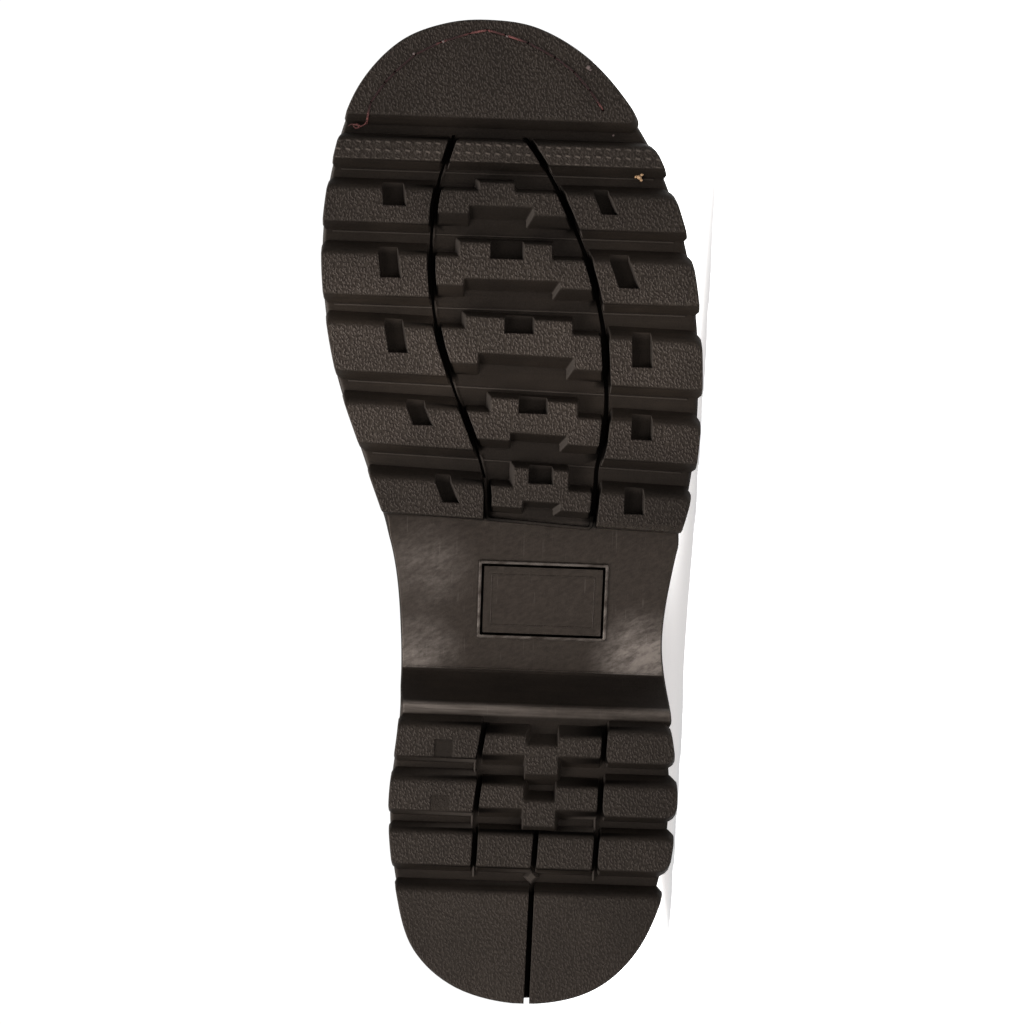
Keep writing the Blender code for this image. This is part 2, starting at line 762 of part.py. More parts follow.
def make_welt():
    outer = lug_outline.inset(WELT_MEDIAL, WELT_LATERAL)
    inner = lug_outline.inset(WELT_INNER, WELT_INNER)
    loops = []
    for outline in (outer, inner):
        x = outline.stations(SOLE_STATIONS)
        pair = []
        for rise in (GAP, GAP + WELT_THICKNESS):
            medial, lateral = outline_rows(outline, x, sole_top(x) + rise)
            pair.append(np.vstack((medial, lateral[-2:0:-1])))
        loops.append(pair)
    bm = bmesh.new()
    add_ring_solid(bm, loops[0], loops[1])
    return add_object("welt", bm, boot)


def make_insole():
    outline = lug_outline.inset(FEATHER_MEDIAL + WALL + SEAT_GAP, FEATHER_LATERAL + WALL + SEAT_GAP)
    x = outline.stations(INSOLE_STATIONS)
    levels = []
    for rise in (0.0, INSOLE_THICKNESS):
        levels.append(outline_rows(outline, x, feather_height(x) + rise))
    bm = bmesh.new()
    add_strip_solid(bm, levels)
    return add_object("insole", bm, boot)


# Upper
def crest_line():
    """Height of the foot's crest at x: the front line read sideways, then the arch behind it."""
    z = np.linspace(FRONT[0].z, CREST_TOP, SAMPLES)
    x = front_x(z)
    xs = np.concatenate((x, [row.x for row in ARCH_BEHIND]))[::-1]
    zs = np.concatenate((z, [row.z for row in ARCH_BEHIND]))[::-1]
    return lambda place: np.interp(place, xs, zs)


feather = lug_outline.inset(FEATHER_MEDIAL, FEATHER_LATERAL)
front_x = smooth_table(FRONT, "z", "x")
back_x = smooth_table(BACK, "z", "x")
crest_z = crest_line()
crest_y = smooth_table(FOOT, "x", "crest")
fullness = smooth_table(FOOT, "x", "fullness")
shaft_half = {MEDIAL: smooth_table(SHAFT, "z", "medial"), LATERAL: smooth_table(SHAFT, "z", "lateral")}
shaft_widest = smooth_table(SHAFT, "z", "widest")


def ring_z(x, height, swing):
    """Height of a ring at x. Low rings follow the sole, the top ones dip at front and back."""
    base = feather_height(x)
    share = (height - RING_HEIGHTS[0]) / (LEVEL_RING - RING_HEIGHTS[0])
    low = base + share * (LEVEL_RING - base)
    dip = COLLAR_DIP * float(smooth_step(height, COLLAR_DIP_START, COLLAR_HEIGHT))
    return np.where(height < LEVEL_RING, low, height - dip * swing ** COLLAR_DIP_POWER)


def ring_end(profile, start, height):
    x = start
    for _ in range(12):
        x = float(profile(ring_z(x, height, 0.0)))
    return x


def ring_points(height, angles, swell):
    """Points of the upper's outside at one ring. Angle 0 is the front, pi the back."""
    front = ring_end(front_x, feather.end, height) + swell
    back = ring_end(back_x, feather.start, height) - swell
    if height <= RING_HEIGHTS[0]:
        front = feather.end
        back = feather.start
    swing = np.cos(angles)
    s = 0.5 * (1.0 + swing)
    x = back + s * (front - back)
    z = ring_z(x, height, swing)
    blend = smooth_step(z, BLEND_LOW, BLEND_HIGH)
    shift = (feather.start - back) * (1.0 - smooth_step(s, 0.0, HEEL_REACH))
    base = feather_height(x)
    top = np.maximum(crest_z(x), base + 1.0)
    tau = np.clip((z - base) / (top - base), 0.0, 1.0)
    power = fullness(x)
    arch = (1.0 - tau ** power) ** (1.0 / power)
    y = np.zeros(len(angles))
    for side in (MEDIAL, LATERAL):
        here = np.sin(angles) * side >= 0.0
        foot = crest_y(x) + (feather.y(side, x + shift) - crest_y(x)) * arch
        skew = s ** (math.log(0.5) / np.log(shaft_widest(z)))
        oval = np.sqrt(np.maximum(1.0 - np.abs(2.0 * skew - 1.0) ** OVAL_POWER, 0.0))
        leg = crest_y(x) * (1.0 - smooth_step(z, BLEND_HIGH, COLLAR_DIP_START))
        leg = leg + side * (shaft_half[side](z) + swell) * oval
        y = np.where(here, foot * (1.0 - blend) + leg * blend, y)
    return np.column_stack((x, y, z))


def upper_rings():
    """Height and outward step of every ring, with the collar band as a step in the wall."""
    band = COLLAR_HEIGHT - COLLAR_BAND
    rings = [(height, 0.0) for height in RING_HEIGHTS]
    rings += [(band, 0.0), (band + COLLAR_STEP, COLLAR_STEP), (COLLAR_HEIGHT, COLLAR_STEP)]
    return rings


column_angles = 2.0 * math.pi * np.arange(COLUMNS) / COLUMNS


def outward(height, angles):
    """Outward direction of the upper's outside at one ring."""
    turn = 0.02
    rise = 0.4
    along = ring_points(height, angles + turn, 0.0) - ring_points(height, angles - turn, 0.0)
    up = ring_points(height + rise, angles, 0.0) - ring_points(max(height - rise, RING_HEIGHTS[0]), angles, 0.0)
    normal = np.cross(along, up)
    return normal / np.linalg.norm(normal, axis=1)[:, None]


def solidify(item, thickness, offset):
    shell = item.modifiers.new("Wall", "SOLIDIFY")
    shell.thickness = thickness * MM
    shell.offset = offset
    shell.use_even_offset = True
    settle_modifiers(item)


def make_upper():
    bm = bmesh.new()
    rows = []
    for height, swell in upper_rings():
        points = ring_points(height, column_angles, swell)
        rows.append([bm.verts.new(Vector(p) * MM) for p in points])
    for low, high in zip(rows[:-1], rows[1:]):
        for i in range(COLUMNS):
            k = (i + 1) % COLUMNS
            face_of(bm, (low[i], low[k], high[k]))
            face_of(bm, (low[i], high[k], high[i]))
    upper = add_object("upper", bm, boot)
    solidify(upper, WALL, -1.0)
    return upper


def make_overlay(name, centre, columns, edge_rows):
    """Add a leather panel over the upper, from the welt to its upper edge."""
    edge = smooth_table(edge_rows, "angle", "height")
    bm = bmesh.new()
    rows = []
    reach = math.radians(edge_rows[-1].angle)
    steps = np.arange(-columns, columns + 1)
    angles = centre + 2.0 * math.pi * steps / COLUMNS
    angles[0] = centre - reach
    angles[-1] = centre + reach
    limits = edge(np.degrees(np.abs(angles - centre)))
    foot = RING_HEIGHTS[0] + OVERLAY_FOOT
    heights = [foot] + [height for height in RING_HEIGHTS if foot < height < max(limits)] + [max(limits)]
    for height in heights:
        row = []
        for angle, limit in zip(angles, limits):
            here = min(height, float(limit))
            one = np.array((angle,))
            point = ring_points(here, one, 0.0)[0] + OVERLAY_GAP * outward(here, one)[0]
            row.append(bm.verts.new(Vector(point) * MM))
        rows.append(row)
    for low, high in zip(rows[:-1], rows[1:]):
        for i in range(len(angles) - 1):
            face_of(bm, (low[i], low[i + 1], high[i + 1]))
            face_of(bm, (low[i], high[i + 1], high[i]))
    panel = add_object(name, bm, boot)
    solidify(panel, OVERLAY, 1.0)
    return panel


def make_pull_loop(name, side):
    """Add a folded strap inside the collar that stands up as a loop."""
    half = 0.5 * LOOP_THICKNESS
    near = GAP + half
    far = near + LOOP_THICKNESS + GAP
    middle = 0.5 * (near + far)
    top = COLLAR_HEIGHT + LOOP_RISE
    turn = np.linspace(-LOOP_OVERTURN, math.pi + LOOP_OVERTURN, LOOP_ARC_STEPS)
    path = [(near, COLLAR_HEIGHT - LOOP_LEG), (near, COLLAR_HEIGHT)]
    path += [(middle - LOOP_RADIUS * math.cos(a), top + LOOP_RADIUS * math.sin(a)) for a in turn]
    path += [(far, COLLAR_HEIGHT), (far, COLLAR_HEIGHT - LOOP_LEG)]
    path = np.array(path)
    along = np.gradient(path, axis=0)
    along = along / np.linalg.norm(along, axis=1)[:, None]
    sideways = np.column_stack((along[:, 1], -along[:, 0]))
    middle_angle = side * 0.5 * math.pi
    radius = 0.5 * (ring_end(front_x, feather.end, COLLAR_HEIGHT) - ring_end(back_x, feather.start, COLLAR_HEIGHT))
    reach = 0.5 * LOOP_WIDTH / radius
    bm = bmesh.new()
    rows = []
    for share in np.linspace(-1.0, 1.0, LOOP_COLUMNS):
        angle = np.array((middle_angle + share * reach,))
        for face in (-half, half):
            row = []
            for inward, z in path + sideways * face:
                low = min(z, COLLAR_HEIGHT - 1.0)
                skin = ring_points(low, angle, 0.0)[0]
                out = outward(low, angle)[0]
                point = skin - out * (WALL + inward)
                row.append(bm.verts.new(Vector((point[0], point[1], z)) * MM))
            rows.append(row)
    count = len(path)
    last = len(rows) - 2
    for column in range(0, last, 2):
        for face in (0, 1):
            a = rows[column + face]
            b = rows[column + 2 + face]
            for i in range(count - 1):
                face_of(bm, (a[i], a[i + 1], b[i + 1], b[i]))
        for i in (0, count - 1):
            face_of(bm, (rows[column][i], rows[column + 2][i], rows[column + 3][i], rows[column + 1][i]))
    for column in (0, last):
        for i in range(count - 1):
            face_of(bm, (rows[column][i], rows[column][i + 1], rows[column + 1][i + 1], rows[column + 1][i]))
    return add_object(name, bm, boot)


# Lying pose
def rest_matrix(items):
    """Turn the boot on to the three places of its outer side that bear on the floor."""
    points = [Vector(v.co) for item in items for v in item.data.vertices]
    bm = bmesh.new()
    for point in points:
        bm.verts.new(point)
    hull = bmesh.ops.convex_hull(bm, input=bm.verts[:])
    spare = [g for g in hull["geom_unused"] + hull["geom_interior"] if isinstance(g, bmesh.types.BMVert)]
    bmesh.ops.delete(bm, geom=list(set(spare)), context="VERTS")
    centre = sum(points, Vector()) / len(points)
    tree = BVHTree.FromBMesh(bm)
    normal = tree.ray_cast(centre, Vector((0.0, 1.0, 0.0)))[1]
    bm.free()
    if normal.y < 0.0:
        normal = -normal
    up = -normal.normalized()
    ahead = (Vector((1.0, 0.0, 0.0)) - up * up.x).normalized()
    left = up.cross(ahead)
    turn = Matrix((ahead, left, up))
    turned = np.array([turn @ point for point in points])
    low = turned.min(axis=0)
    high = turned.max(axis=0)
    shift = Vector((-0.5 * (low[0] + high[0]), -0.5 * (low[1] + high[1]), -low[2]))
    return Matrix.Translation(shift) @ turn.to_4x4()


# Build
RUBBER = (0.055, 0.047, 0.042)
LEATHER = (0.19, 0.085, 0.04)
parts = [
    (make_outsole(), "rubber", RUBBER, 0.6, 35.0),
    (make_welt(), "welt leather", (0.13, 0.065, 0.032), 0.55, 35.0),
    (make_insole(), "footbed", (0.35, 0.25, 0.16), 0.8, 35.0),
    (make_upper(), "shaft leather", LEATHER, 0.5, 50.0),
    (make_overlay("vamp_overlay", 0.0, VAMP_COLUMNS, VAMP_EDGE), "vamp leather", LEATHER, 0.5, 50.0),
    (make_overlay("counter_overlay", math.pi, COUNTER_COLUMNS, COUNTER_EDGE), "counter leather",
     LEATHER, 0.5, 50.0),
    (make_pull_loop("pull_loop_medial", MEDIAL), "strap medial", (0.12, 0.055, 0.028), 0.7, 50.0),
    (make_pull_loop("pull_loop_lateral", LATERAL), "strap lateral", (0.12, 0.055, 0.028), 0.7, 50.0),
]
lay_down = bpy.data.objects.new("lying pose", None)
boot.objects.link(lay_down)
lay_down.matrix_world = rest_matrix([row[0] for row in parts])
for item, name, colour, roughness, degrees in parts:
    give_material(item, name, colour, roughness)
    shade(item, degrees)
    item.parent = lay_down
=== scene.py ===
"""Looks of a left pull-on work boot that lies on its outer side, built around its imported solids.

Shapes are worked out in the boot's own millimetres, as it stands: x from heel to toe, y to the
outer side and z up from the ground. They are then laid down into the frame of the solids, in metres.
"""
import math

import bmesh
import bpy
import numpy as np
from mathutils import Matrix, Vector


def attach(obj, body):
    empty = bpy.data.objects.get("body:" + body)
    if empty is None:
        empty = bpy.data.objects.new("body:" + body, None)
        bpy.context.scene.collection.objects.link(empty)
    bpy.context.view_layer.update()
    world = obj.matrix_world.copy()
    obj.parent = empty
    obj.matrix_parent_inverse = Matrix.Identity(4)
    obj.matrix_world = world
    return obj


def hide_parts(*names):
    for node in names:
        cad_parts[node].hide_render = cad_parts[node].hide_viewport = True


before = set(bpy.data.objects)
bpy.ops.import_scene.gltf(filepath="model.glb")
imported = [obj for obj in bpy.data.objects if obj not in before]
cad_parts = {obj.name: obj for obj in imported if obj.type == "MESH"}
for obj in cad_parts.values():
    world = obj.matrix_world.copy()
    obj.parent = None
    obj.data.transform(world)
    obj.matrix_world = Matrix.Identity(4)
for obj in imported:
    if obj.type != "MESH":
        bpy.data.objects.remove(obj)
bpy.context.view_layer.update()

MM = 0.001
MEDIAL = -1
LATERAL = 1
LAY_DOWN = Matrix((
    (0.9996157, 0.0277191, -0.0003519, -0.1519432),
    (0.0, 0.0126924, 0.9999195, -0.152821),
    (0.0277214, -0.9995352, 0.0126875, 0.0420463),
    (0.0, 0.0, 0.0, 1.0)))
TO_FRAME = LAY_DOWN @ Matrix.Scale(MM, 4)

# Sole
LUG_ROOT = 5.6
LUG_SHOULDER = 8.2
BLOCK_ROOT = 6.5
TOE_SPRING = 12.0
SPRING_START = 205.0
BAND = (0.9, 2.3)
BAND_ROUND = 1.4
BAND_STEP = 0.45
CHANNEL_HALF = 1.3
CHANNEL_DRAFT = 0.3
WELT_THICKNESS = 3.0
WELT = (1.6, 3.0)
WELT_INNER = 14.0
GAP = 0.3
# Side band over its rounded foot: inset, rise, share of the height
BAND_PROFILE = [
    (0.0, -0.3, 0.46), (0.35, 0.0, 0.47), (0.35, 0.3, 0.49), (-0.5 * BAND_STEP, 0.5, 0.5),
    (-BAND_STEP, 1.1, 0.5), (-BAND_STEP, -1.3, 1.0), (-0.5 * BAND_STEP, -0.5, 1.0), (0.0, 0.0, 1.0)]
# Top of the welt with its stitch channel: inset, rise
WELT_PROFILE = (
    (0.0, 0.4), (0.0, 2.0), (0.25, 2.6), (0.8, 3.0), (1.5, 3.0), (1.8, 2.7), (2.5, 2.6), (3.0, 2.7),
    (3.3, 3.0), (6.0, 3.0), (WELT_INNER - 2.3, 3.0), (WELT_INNER - 2.3, 0.0), (0.4, 0.0))
# Towards the band the lugs draw in: how far at each side, and from which height
SHOULDER = [width + 1.2 for width in BAND]
TUCK_START = LUG_ROOT - 1.6

# Soft edges of the rubber, and the levels that draw them
TOE_SOFT = 2.2
HEEL_SOFT = 0.9
OUTER_SOFT = 1.0
SLIT_SOFT = 0.45
HEIGHTS = (0.0, 0.02, 0.08, 0.18, 0.34, 0.56, 0.86, 1.25, 1.8, 2.6, 3.8)
LUG_LEVELS = HEIGHTS + (LUG_ROOT, 6.6, 7.5, LUG_SHOULDER)
# Corner radii of the lugs at heel and toe end, and their share at the channel
FOREFOOT_CORNERS = {MEDIAL: (0.8, 1.4), LATERAL: (0.7, 3.0)}
HEEL_CORNERS = {MEDIAL: (1.2, 1.2), LATERAL: (3.6, 2.0)}
INNER_CORNER = 0.6
CHANNEL_CORNER = 0.35
CORNER_LIMIT = 0.45
LUG_STATIONS = 5
# Centre blocks: soft edge at toe, heel and notch, slopes of the tab and of a notch or a tongue
BLOCK_SOFT = (1.3, 0.8, 0.7)
TAB_SLOPE = 2.0
NOTCH_SLOPES = (3.0, 1.5)
BLOCK_CORNER = 0.7
# Soft spans along the sole: start and end of the rise, start and end of the fall
WAIST_SPANS = {MEDIAL: (90.0, 97.0, 142.0, 150.0), LATERAL: (84.0, 88.0, 142.0, 150.0)}
CROWN_SPAN = (106.0, 118.0, 134.0, 149.0)
WAIST_CROWN = 1.2
# The body stands in by a share of the band: at the inner side, less at the forefoot, out on the waist
BODY_INNER = 0.45
BODY_DROP = 0.4
BODY_DROP_X = (120.0, 160.0)
BODY_ACROSS_Y = (-25.0, 25.0)
WAIST_OUT = 0.25
# Share of its round foot that the waist loses
WAIST_EDGE = 0.55
# Close stations of the body: start, end, step; and the span without even ones
FINE_STATIONS = ((84.0, 153.0, 1.0), (88.2, 93.2, 0.4), (100.0, 103.6, 0.4))
FINE_SPAN = (83.0, 153.5)
# Ribs: half width, rise
MOULD_RIB = (0.32, 0.3)
CHANNEL_RIB = (0.3, 0.55)
RIM_RIB = (0.7, 1.2)
FLASH_RIB = (0.35, 1.3)
BREAST_RIB = (0.35, 0.3)
RIB_FOOT = 0.2
RIB_ROOT = 1.0
# Mould line behind a row: share of the row's heel slope, and a distance more
MOULD_LINE = (0.9, 0.5)
# Edge of the heel breast: x, and y of its ends
BREAST_LINE = 102.2
BREAST_SPAN = (-41.5, 36.0)
# Rim behind the last block: its ends on the channels, its corners and their radius
RIM_ENDS = ((MEDIAL, 163.0), (LATERAL, 158.0))
RIM_CORNERS = ((149.2, -18.0), (147.2, 14.2))
RIM_RADIUS = 1.2
# Pegs: height, radius
CROSSING_SECTIONS = ((3.0, 1.3), (4.0, 2.2), (6.0, 3.0))
HOLE_SECTIONS = ((-1.0, 0.55), (0.2, 0.5), (1.1, 0.35))
# Pockets: height, lip and lean of the lateral wall; how far they run out over the toe edge
POCKET_LEVELS = ((-2.0, 0.4, 0.6), (0.0, 0.4, 0.6), (0.12, 0.2, 0.55), (0.35, 0.08, 0.5))
POCKET_REACH = 6.0
# Distance from the centre line that counts as inside a slit
SLIT_REACH = 1.8
BACK_SLIT_REACH = 1.6

# Upper, as in the solids
WALL = 2.4
FEATHER = (7.5, 8.5)
FEATHER_RING = 15.6
LEVEL_RING = 72.0
COLLAR_HEIGHT = 288.0
COLLAR_DIP = 12.0
COLLAR_DIP_START = 205.0
COLLAR_BAND = 15.0
COLLAR_STEP = 0.9
CREST_TOP = 172.0
BLEND_LOW = 52.0
BLEND_HIGH = 126.0
HEEL_REACH = 0.35
OVAL_POWER = 2.3
OVERLAY_GAP = 0.4
OVERLAY = 1.3
OVERLAY_FOOT = 1.5
# Overlays: angle of the round ends, height of the round upper edge, its steps as rise and thickness
PANEL_EDGE = 0.012
OVERLAY_ROUND = 1.3
OVERLAY_EDGE = ((0.45, 0.96), (0.85, 0.82), (1.15, 0.6), (OVERLAY_ROUND, 0.35))
# Rounding of the collar's rim
RIM_RISE = 0.7
RIM_DROP = 0.75

# Plan of the sole at the edge of the lugs, once round from the heel: x, y
OUTLINE = (
    (0.0, -1.5), (4.5, -23.0), (16.0, -36.3), (36.0, -42.6), (60.0, -45.3), (86.0, -43.2),
    (112.0, -43.4), (138.0, -46.6), (165.0, -56.2), (195.0, -66.9), (229.0, -72.0), (258.0, -69.8),
    (282.0, -62.6), (297.0, -50.0), (303.2, -36.0), (304.7, -22.5), (302.6, -7.5), (292.0, 10.3),
    (270.0, 27.8), (246.0, 38.6), (222.0, 44.6), (190.0, 47.2), (160.0, 45.3), (138.0, 40.2),
    (112.0, 37.4), (90.0, 40.6), (66.0, 43.8), (36.0, 40.6), (16.0, 32.0), (4.5, 19.0))
# Underside between the lugs and top of the sole, before toe spring: x, z
UNDERSIDE = (
    (0.0, 5.0), (85.6, 5.0), (86.8, 5.4), (88.2, 5.3), (89.6, 4.6), (90.8, 4.2), (91.6, 4.5), (92.4, 6.2),
    (100.2, 16.2), (101.3, 17.1), (101.8, 17.2), (102.6, 17.0), (118.0, 13.6), (132.0, 9.2), (146.0, 5.6),
    (152.0, 5.0), (304.7, 5.0))
TOP = (
    (0.0, 31.2), (40.0, 30.3), (80.0, 27.4), (110.0, 22.4), (140.0, 16.6), (165.0, 13.3),
    (195.0, 12.0), (304.7, 12.0))
# Rows of lugs: toe and heel edge of the walking face, tilt, spread of the toe and heel slopes
FOREFOOT_ROWS = (
    (266.0, 259.3, 0.0, 1.9, 3.0), (250.5, 239.6, 0.0, 3.4, 2.7), (230.0, 217.0, 0.0, 4.2, 2.9),
    (206.8, 192.2, 1.2, 4.2, 2.9), (181.8, 169.7, 1.8, 4.2, 2.8), (159.3, 148.4, 2.0, 4.0, 0.5))
HEEL_ROWS = (
    (85.2, 75.4, 0.0, 3.0, 2.2), (68.4, 58.8, 0.0, 3.6, 2.2), (52.4, 42.2, 0.0, 2.8, 2.6))
BUMPER_HEEL = 273.3
BUMPER_SLOPE = 3.2
BUMPER_CORNERS = (1.2, 5.0)
HEEL_BACK_TOE = 34.6
HEEL_BACK_SLOPE = 3.0
HEEL_BACK_SLIT = 0.85
HEEL_BACK_CORNERS = {MEDIAL: 1.0, LATERAL: 2.4}
# Centre lines of the long channels: x, medial y, lateral y
CHANNELS = (
    (147.0, -17.9, 14.4), (155.6, -17.9, 15.2), (164.8, -19.7, 15.4), (174.0, -23.1, 17.2),
    (186.2, -28.2, 17.8), (195.4, -31.6, 17.3), (206.0, -35.0, 16.4), (218.8, -37.1, 13.8),
    (229.0, -37.9, 10.7), (243.6, -37.7, 4.5), (252.5, -36.4, 0.0), (260.5, -34.3, -4.8),
    (270.0, -31.5, -11.9))
# Deeper lines in the channels: side, heel end, distance from the centre line, half width
TRENCHES = ((LATERAL, 151.0, 0.0, 0.8), (MEDIAL, 162.0, -0.35, 0.5))
TRENCH_TOE = 268.0
# Centre lines of the heel's slits, which lean a little in each row: x, medial, middle and lateral y
HEEL_SLITS = np.array((
    (0.0, -18.4, -0.6, 18.9), (34.6, -18.4, -0.2, 18.9), (42.2, -18.4, 0.1, 18.9),
    (52.4, -18.1, 0.6, 19.4), (58.8, -18.4, 0.6, 19.9), (68.4, -17.4, 0.6, 20.1),
    (75.4, -17.9, 0.6, 20.4), (85.2, -16.5, 0.6, 20.8)))
# Where the slit of the heel's back meets the last groove: x, y
HEEL_CROSSING = (39.0, -0.4)
HEEL_SLIT_HALF = 0.9
# Flash where slits cross the heel's grooves: toe, heel, y
HEEL_FLASH = (
    (74.6, 69.6, -19.1), (58.4, 53.6, -19.4), (58.4, 53.8, 18.6), (41.6, 38.4, -18.4), (41.6, 38.4, 18.7))
# Centre blocks: tilt, toe edge of tab and shoulders, heel edge of notch and legs, y of the tab,
# y of the notch, spread of the toe and heel slopes
FOREFOOT_BLOCKS = (
    (0.0, 266.0, 265.9, 259.5, 259.4, -24.0, -16.0, -24.0, -16.0, 1.9, 3.0),
    (0.0, 253.2, 250.4, 246.0, 243.4, -23.8, -13.0, -26.8, -6.7, 1.8, 5.2),
    (0.0, 234.4, 229.8, 223.3, 221.0, -29.2, -0.7, -27.6, 2.2, 2.0, 4.6),
    (1.2, 211.0, 207.0, 200.0, 196.5, -26.5, 6.3, -22.4, 7.3, 2.2, 4.6),
    (1.8, 186.1, 181.5, 175.8, 173.2, -17.9, 8.8, -11.7, 6.0, 2.4, 3.4),
    (2.0, 165.0, 158.9, 154.9, 152.6, -10.0, 6.7, -7.2, 4.6, 2.6, 2.4))
HEEL_BLOCKS = (
    (0.0, 79.8, 82.6, 71.2, 77.0, -3.6, 6.5, -3.6, 6.5, 4.4, 5.0),
    (0.0, 62.7, 67.2, 55.1, 60.5, -3.8, 6.2, -3.8, 6.2, 3.8, 4.6))
# Pockets in the toe edge of lugs: toe, heel, medial and lateral wall there, slant, depth
POCKETS = (
    (250.5, 245.0, -53.3, -46.9, 0.6, 2.8), (230.0, 222.6, -53.3, -47.6, 1.0, 2.8),
    (207.8, 199.5, -50.0, -44.6, 1.6, 2.8), (183.0, 177.4, -41.6, -36.2, 2.4, 2.8),
    (160.0, 153.9, -31.7, -27.2, 2.6, 2.8), (250.5, 244.4, 14.3, 18.6, 2.7, 2.8),
    (230.0, 221.8, 20.4, 26.1, 3.2, 2.8), (206.0, 197.5, 25.3, 30.9, 0.4, 2.8),
    (180.8, 175.2, 25.7, 31.6, 0.0, 2.8), (158.2, 152.2, 24.3, 29.8, 0.0, 2.8),
    (234.4, 229.5, -19.7, -10.0, 0.0, 2.8), (211.0, 206.7, -14.5, -6.0, 0.0, 2.8),
    (186.1, 182.1, -9.3, -1.0, 0.0, 2.8), (165.0, 160.6, -5.5, 1.5, 0.0, 2.8))
# Shallow squares in two heel lugs
SQUARES = ((80.6, 75.4, -31.6, -26.4, 0.0, 0.6), (63.4, 58.6, -32.2, -27.0, 0.0, 0.36))
# Plate on the waist: toe, heel, medial and lateral edge
LABEL = (136.2, 112.0, -20.0, 20.3)
LABEL_CORNER = 0.5
# Rings round the label: distance in, width, rise
LABEL_FRAMES = ((0.0, 1.0, 0.9), (4.0, 0.4, 0.15))
# Line inside it: distance in, width, depth, corner radius
LABEL_GROOVE = (0.95, 0.7, 1.2, 0.3)
# Side view of the upper: front and back of the shape, z, x
FRONT = (
    (25.0, 296.7), (34.0, 296.2), (42.5, 294.4), (51.0, 289.0), (57.5, 280.0), (63.0, 266.0),
    (67.6, 248.0), (72.4, 230.0), (78.0, 214.0), (85.5, 199.0), (94.8, 185.5), (106.0, 173.5),
    (119.5, 163.6), (135.0, 156.0), (153.0, 150.8), (174.0, 147.8), (198.0, 146.4), (225.0, 146.2),
    (255.0, 147.0), (300.0, 148.4))
BACK = (
    (34.0, 8.0), (46.0, 5.2), (58.0, 4.6), (72.0, 5.6), (88.0, 8.6), (106.0, 12.4), (126.0, 15.6),
    (150.0, 17.6), (180.0, 18.0), (215.0, 17.0), (255.0, 15.2), (300.0, 13.0))
ARCH_BEHIND = ((130.0, 236.0), (90.0, 360.0), (0.0, 640.0))
# Shaft sections: z, medial and lateral half width, place of the widest point
SHAFT = (
    (40.0, 37.0, 36.0, 0.42), (80.0, 35.0, 34.5, 0.40), (110.0, 36.5, 36.0, 0.42),
    (140.0, 40.0, 39.5, 0.45), (175.0, 44.0, 43.0, 0.48), (215.0, 46.6, 45.2, 0.50),
    (255.0, 47.8, 46.2, 0.50), (300.0, 48.6, 46.6, 0.50))
# Foot sections: x, line of the crest, roundness
FOOT = (
    (0.0, 0.0, 2.2), (100.0, -0.5, 2.0), (150.0, -3.0, 1.75), (180.0, -8.0, 1.8),
    (215.0, -14.5, 2.05), (250.0, -19.0, 2.35), (280.0, -22.0, 2.5), (304.7, -23.0, 2.5))
# Upper edge of the overlays: angle from the middle of the panel, height
VAMP_EDGE = ((0.0, 121.0), (20.0, 116.0), (40.0, 101.0), (60.0, 86.0), (80.0, 75.0), (102.4, 66.0))
COUNTER_EDGE = ((0.0, 112.0), (20.0, 110.0), (40.0, 98.0), (55.0, 82.0), (76.7, 64.0))
# Creases: start at front or back, its z, medial end x and z, lateral end x and z, depth, width
CREASES = (
    ("front", 74.6, 214.0, 42.0, 206.0, 42.0, 0.8, 3.0),
    ("front", 80.0, 204.0, 43.0, 194.0, 43.0, 1.3, 3.6),
    ("front", 87.0, 190.0, 48.0, 180.0, 47.0, 0.9, 3.4),
    ("front", 128.0, 104.0, 100.0, 108.0, 98.0, 1.2, 5.5),
    ("front", 146.0, 78.0, 126.0, 84.0, 122.0, 2.0, 7.0),
    ("front", 168.0, 92.0, 156.0, 86.0, 150.0, 1.3, 7.0),
    ("front", 204.0, 108.0, 196.0, 100.0, 192.0, 0.9, 9.0),
    ("back", 124.0, 52.0, 133.0, 50.0, 131.0, 1.3, 5.0),
    ("back", 143.0, 44.0, 152.0, 46.0, 149.0, 1.0, 5.0))
# Pull loops
LOOP_WIDTH = 26.0
LOOP_THICKNESS = 1.6
LOOP_LEG = 34.0
LOOP_RISE = 12.0
LOOP_RADIUS = 5.4
# Distance from the shaft's middle that turns their width into an angle
LOOP_AWAY = 67.5
# Section of the strap, once round: share of the half width, share of the half thickness
LOOP_SECTION = (
    (-1.0, -0.4), (-0.97, -0.85), (-0.92, -1.0), (-0.5, -1.0), (0.0, -1.0), (0.5, -1.0), (0.92, -1.0),
    (0.97, -0.85), (1.0, -0.4), (1.0, 0.4), (0.97, 0.85), (0.92, 1.0), (0.5, 1.0), (0.0, 1.0),
    (-0.5, 1.0), (-0.92, 1.0), (-0.97, 0.85), (-1.0, 0.4))
# One stitch: place along it in lengths, dip and radius in radii
STITCH = (
    (-0.5, -0.9, 0.3), (-0.43, -0.35, 0.75), (-0.25, 0.0, 1.0), (0.25, 0.0, 1.0), (0.43, -0.35, 0.75),
    (0.5, -0.9, 0.3))
# Seams: pitch, length and radius of the stitches
PANEL_SEAM = (3.1, 2.3, 0.36)
COLLAR_SEAM = (3.2, 2.4, 0.36)
WELT_SEAM = (4.6, 3.7, 0.5)
# Rows of stitches below a panel's edge, angle left free at its ends, lift off the leather
PANEL_SEAMS_DOWN = (3.0, 6.0)
PANEL_SEAM_END = 0.035
PANEL_SEAM_LIFT = 0.05
# Seams of the collar and the welt: rise over the band's step, lift; inset, height
COLLAR_SEAM_RISE = 3.0
COLLAR_SEAM_LIFT = 0.1
WELT_SEAM_INSET = 2.15
WELT_SEAM_HEIGHT = 2.85
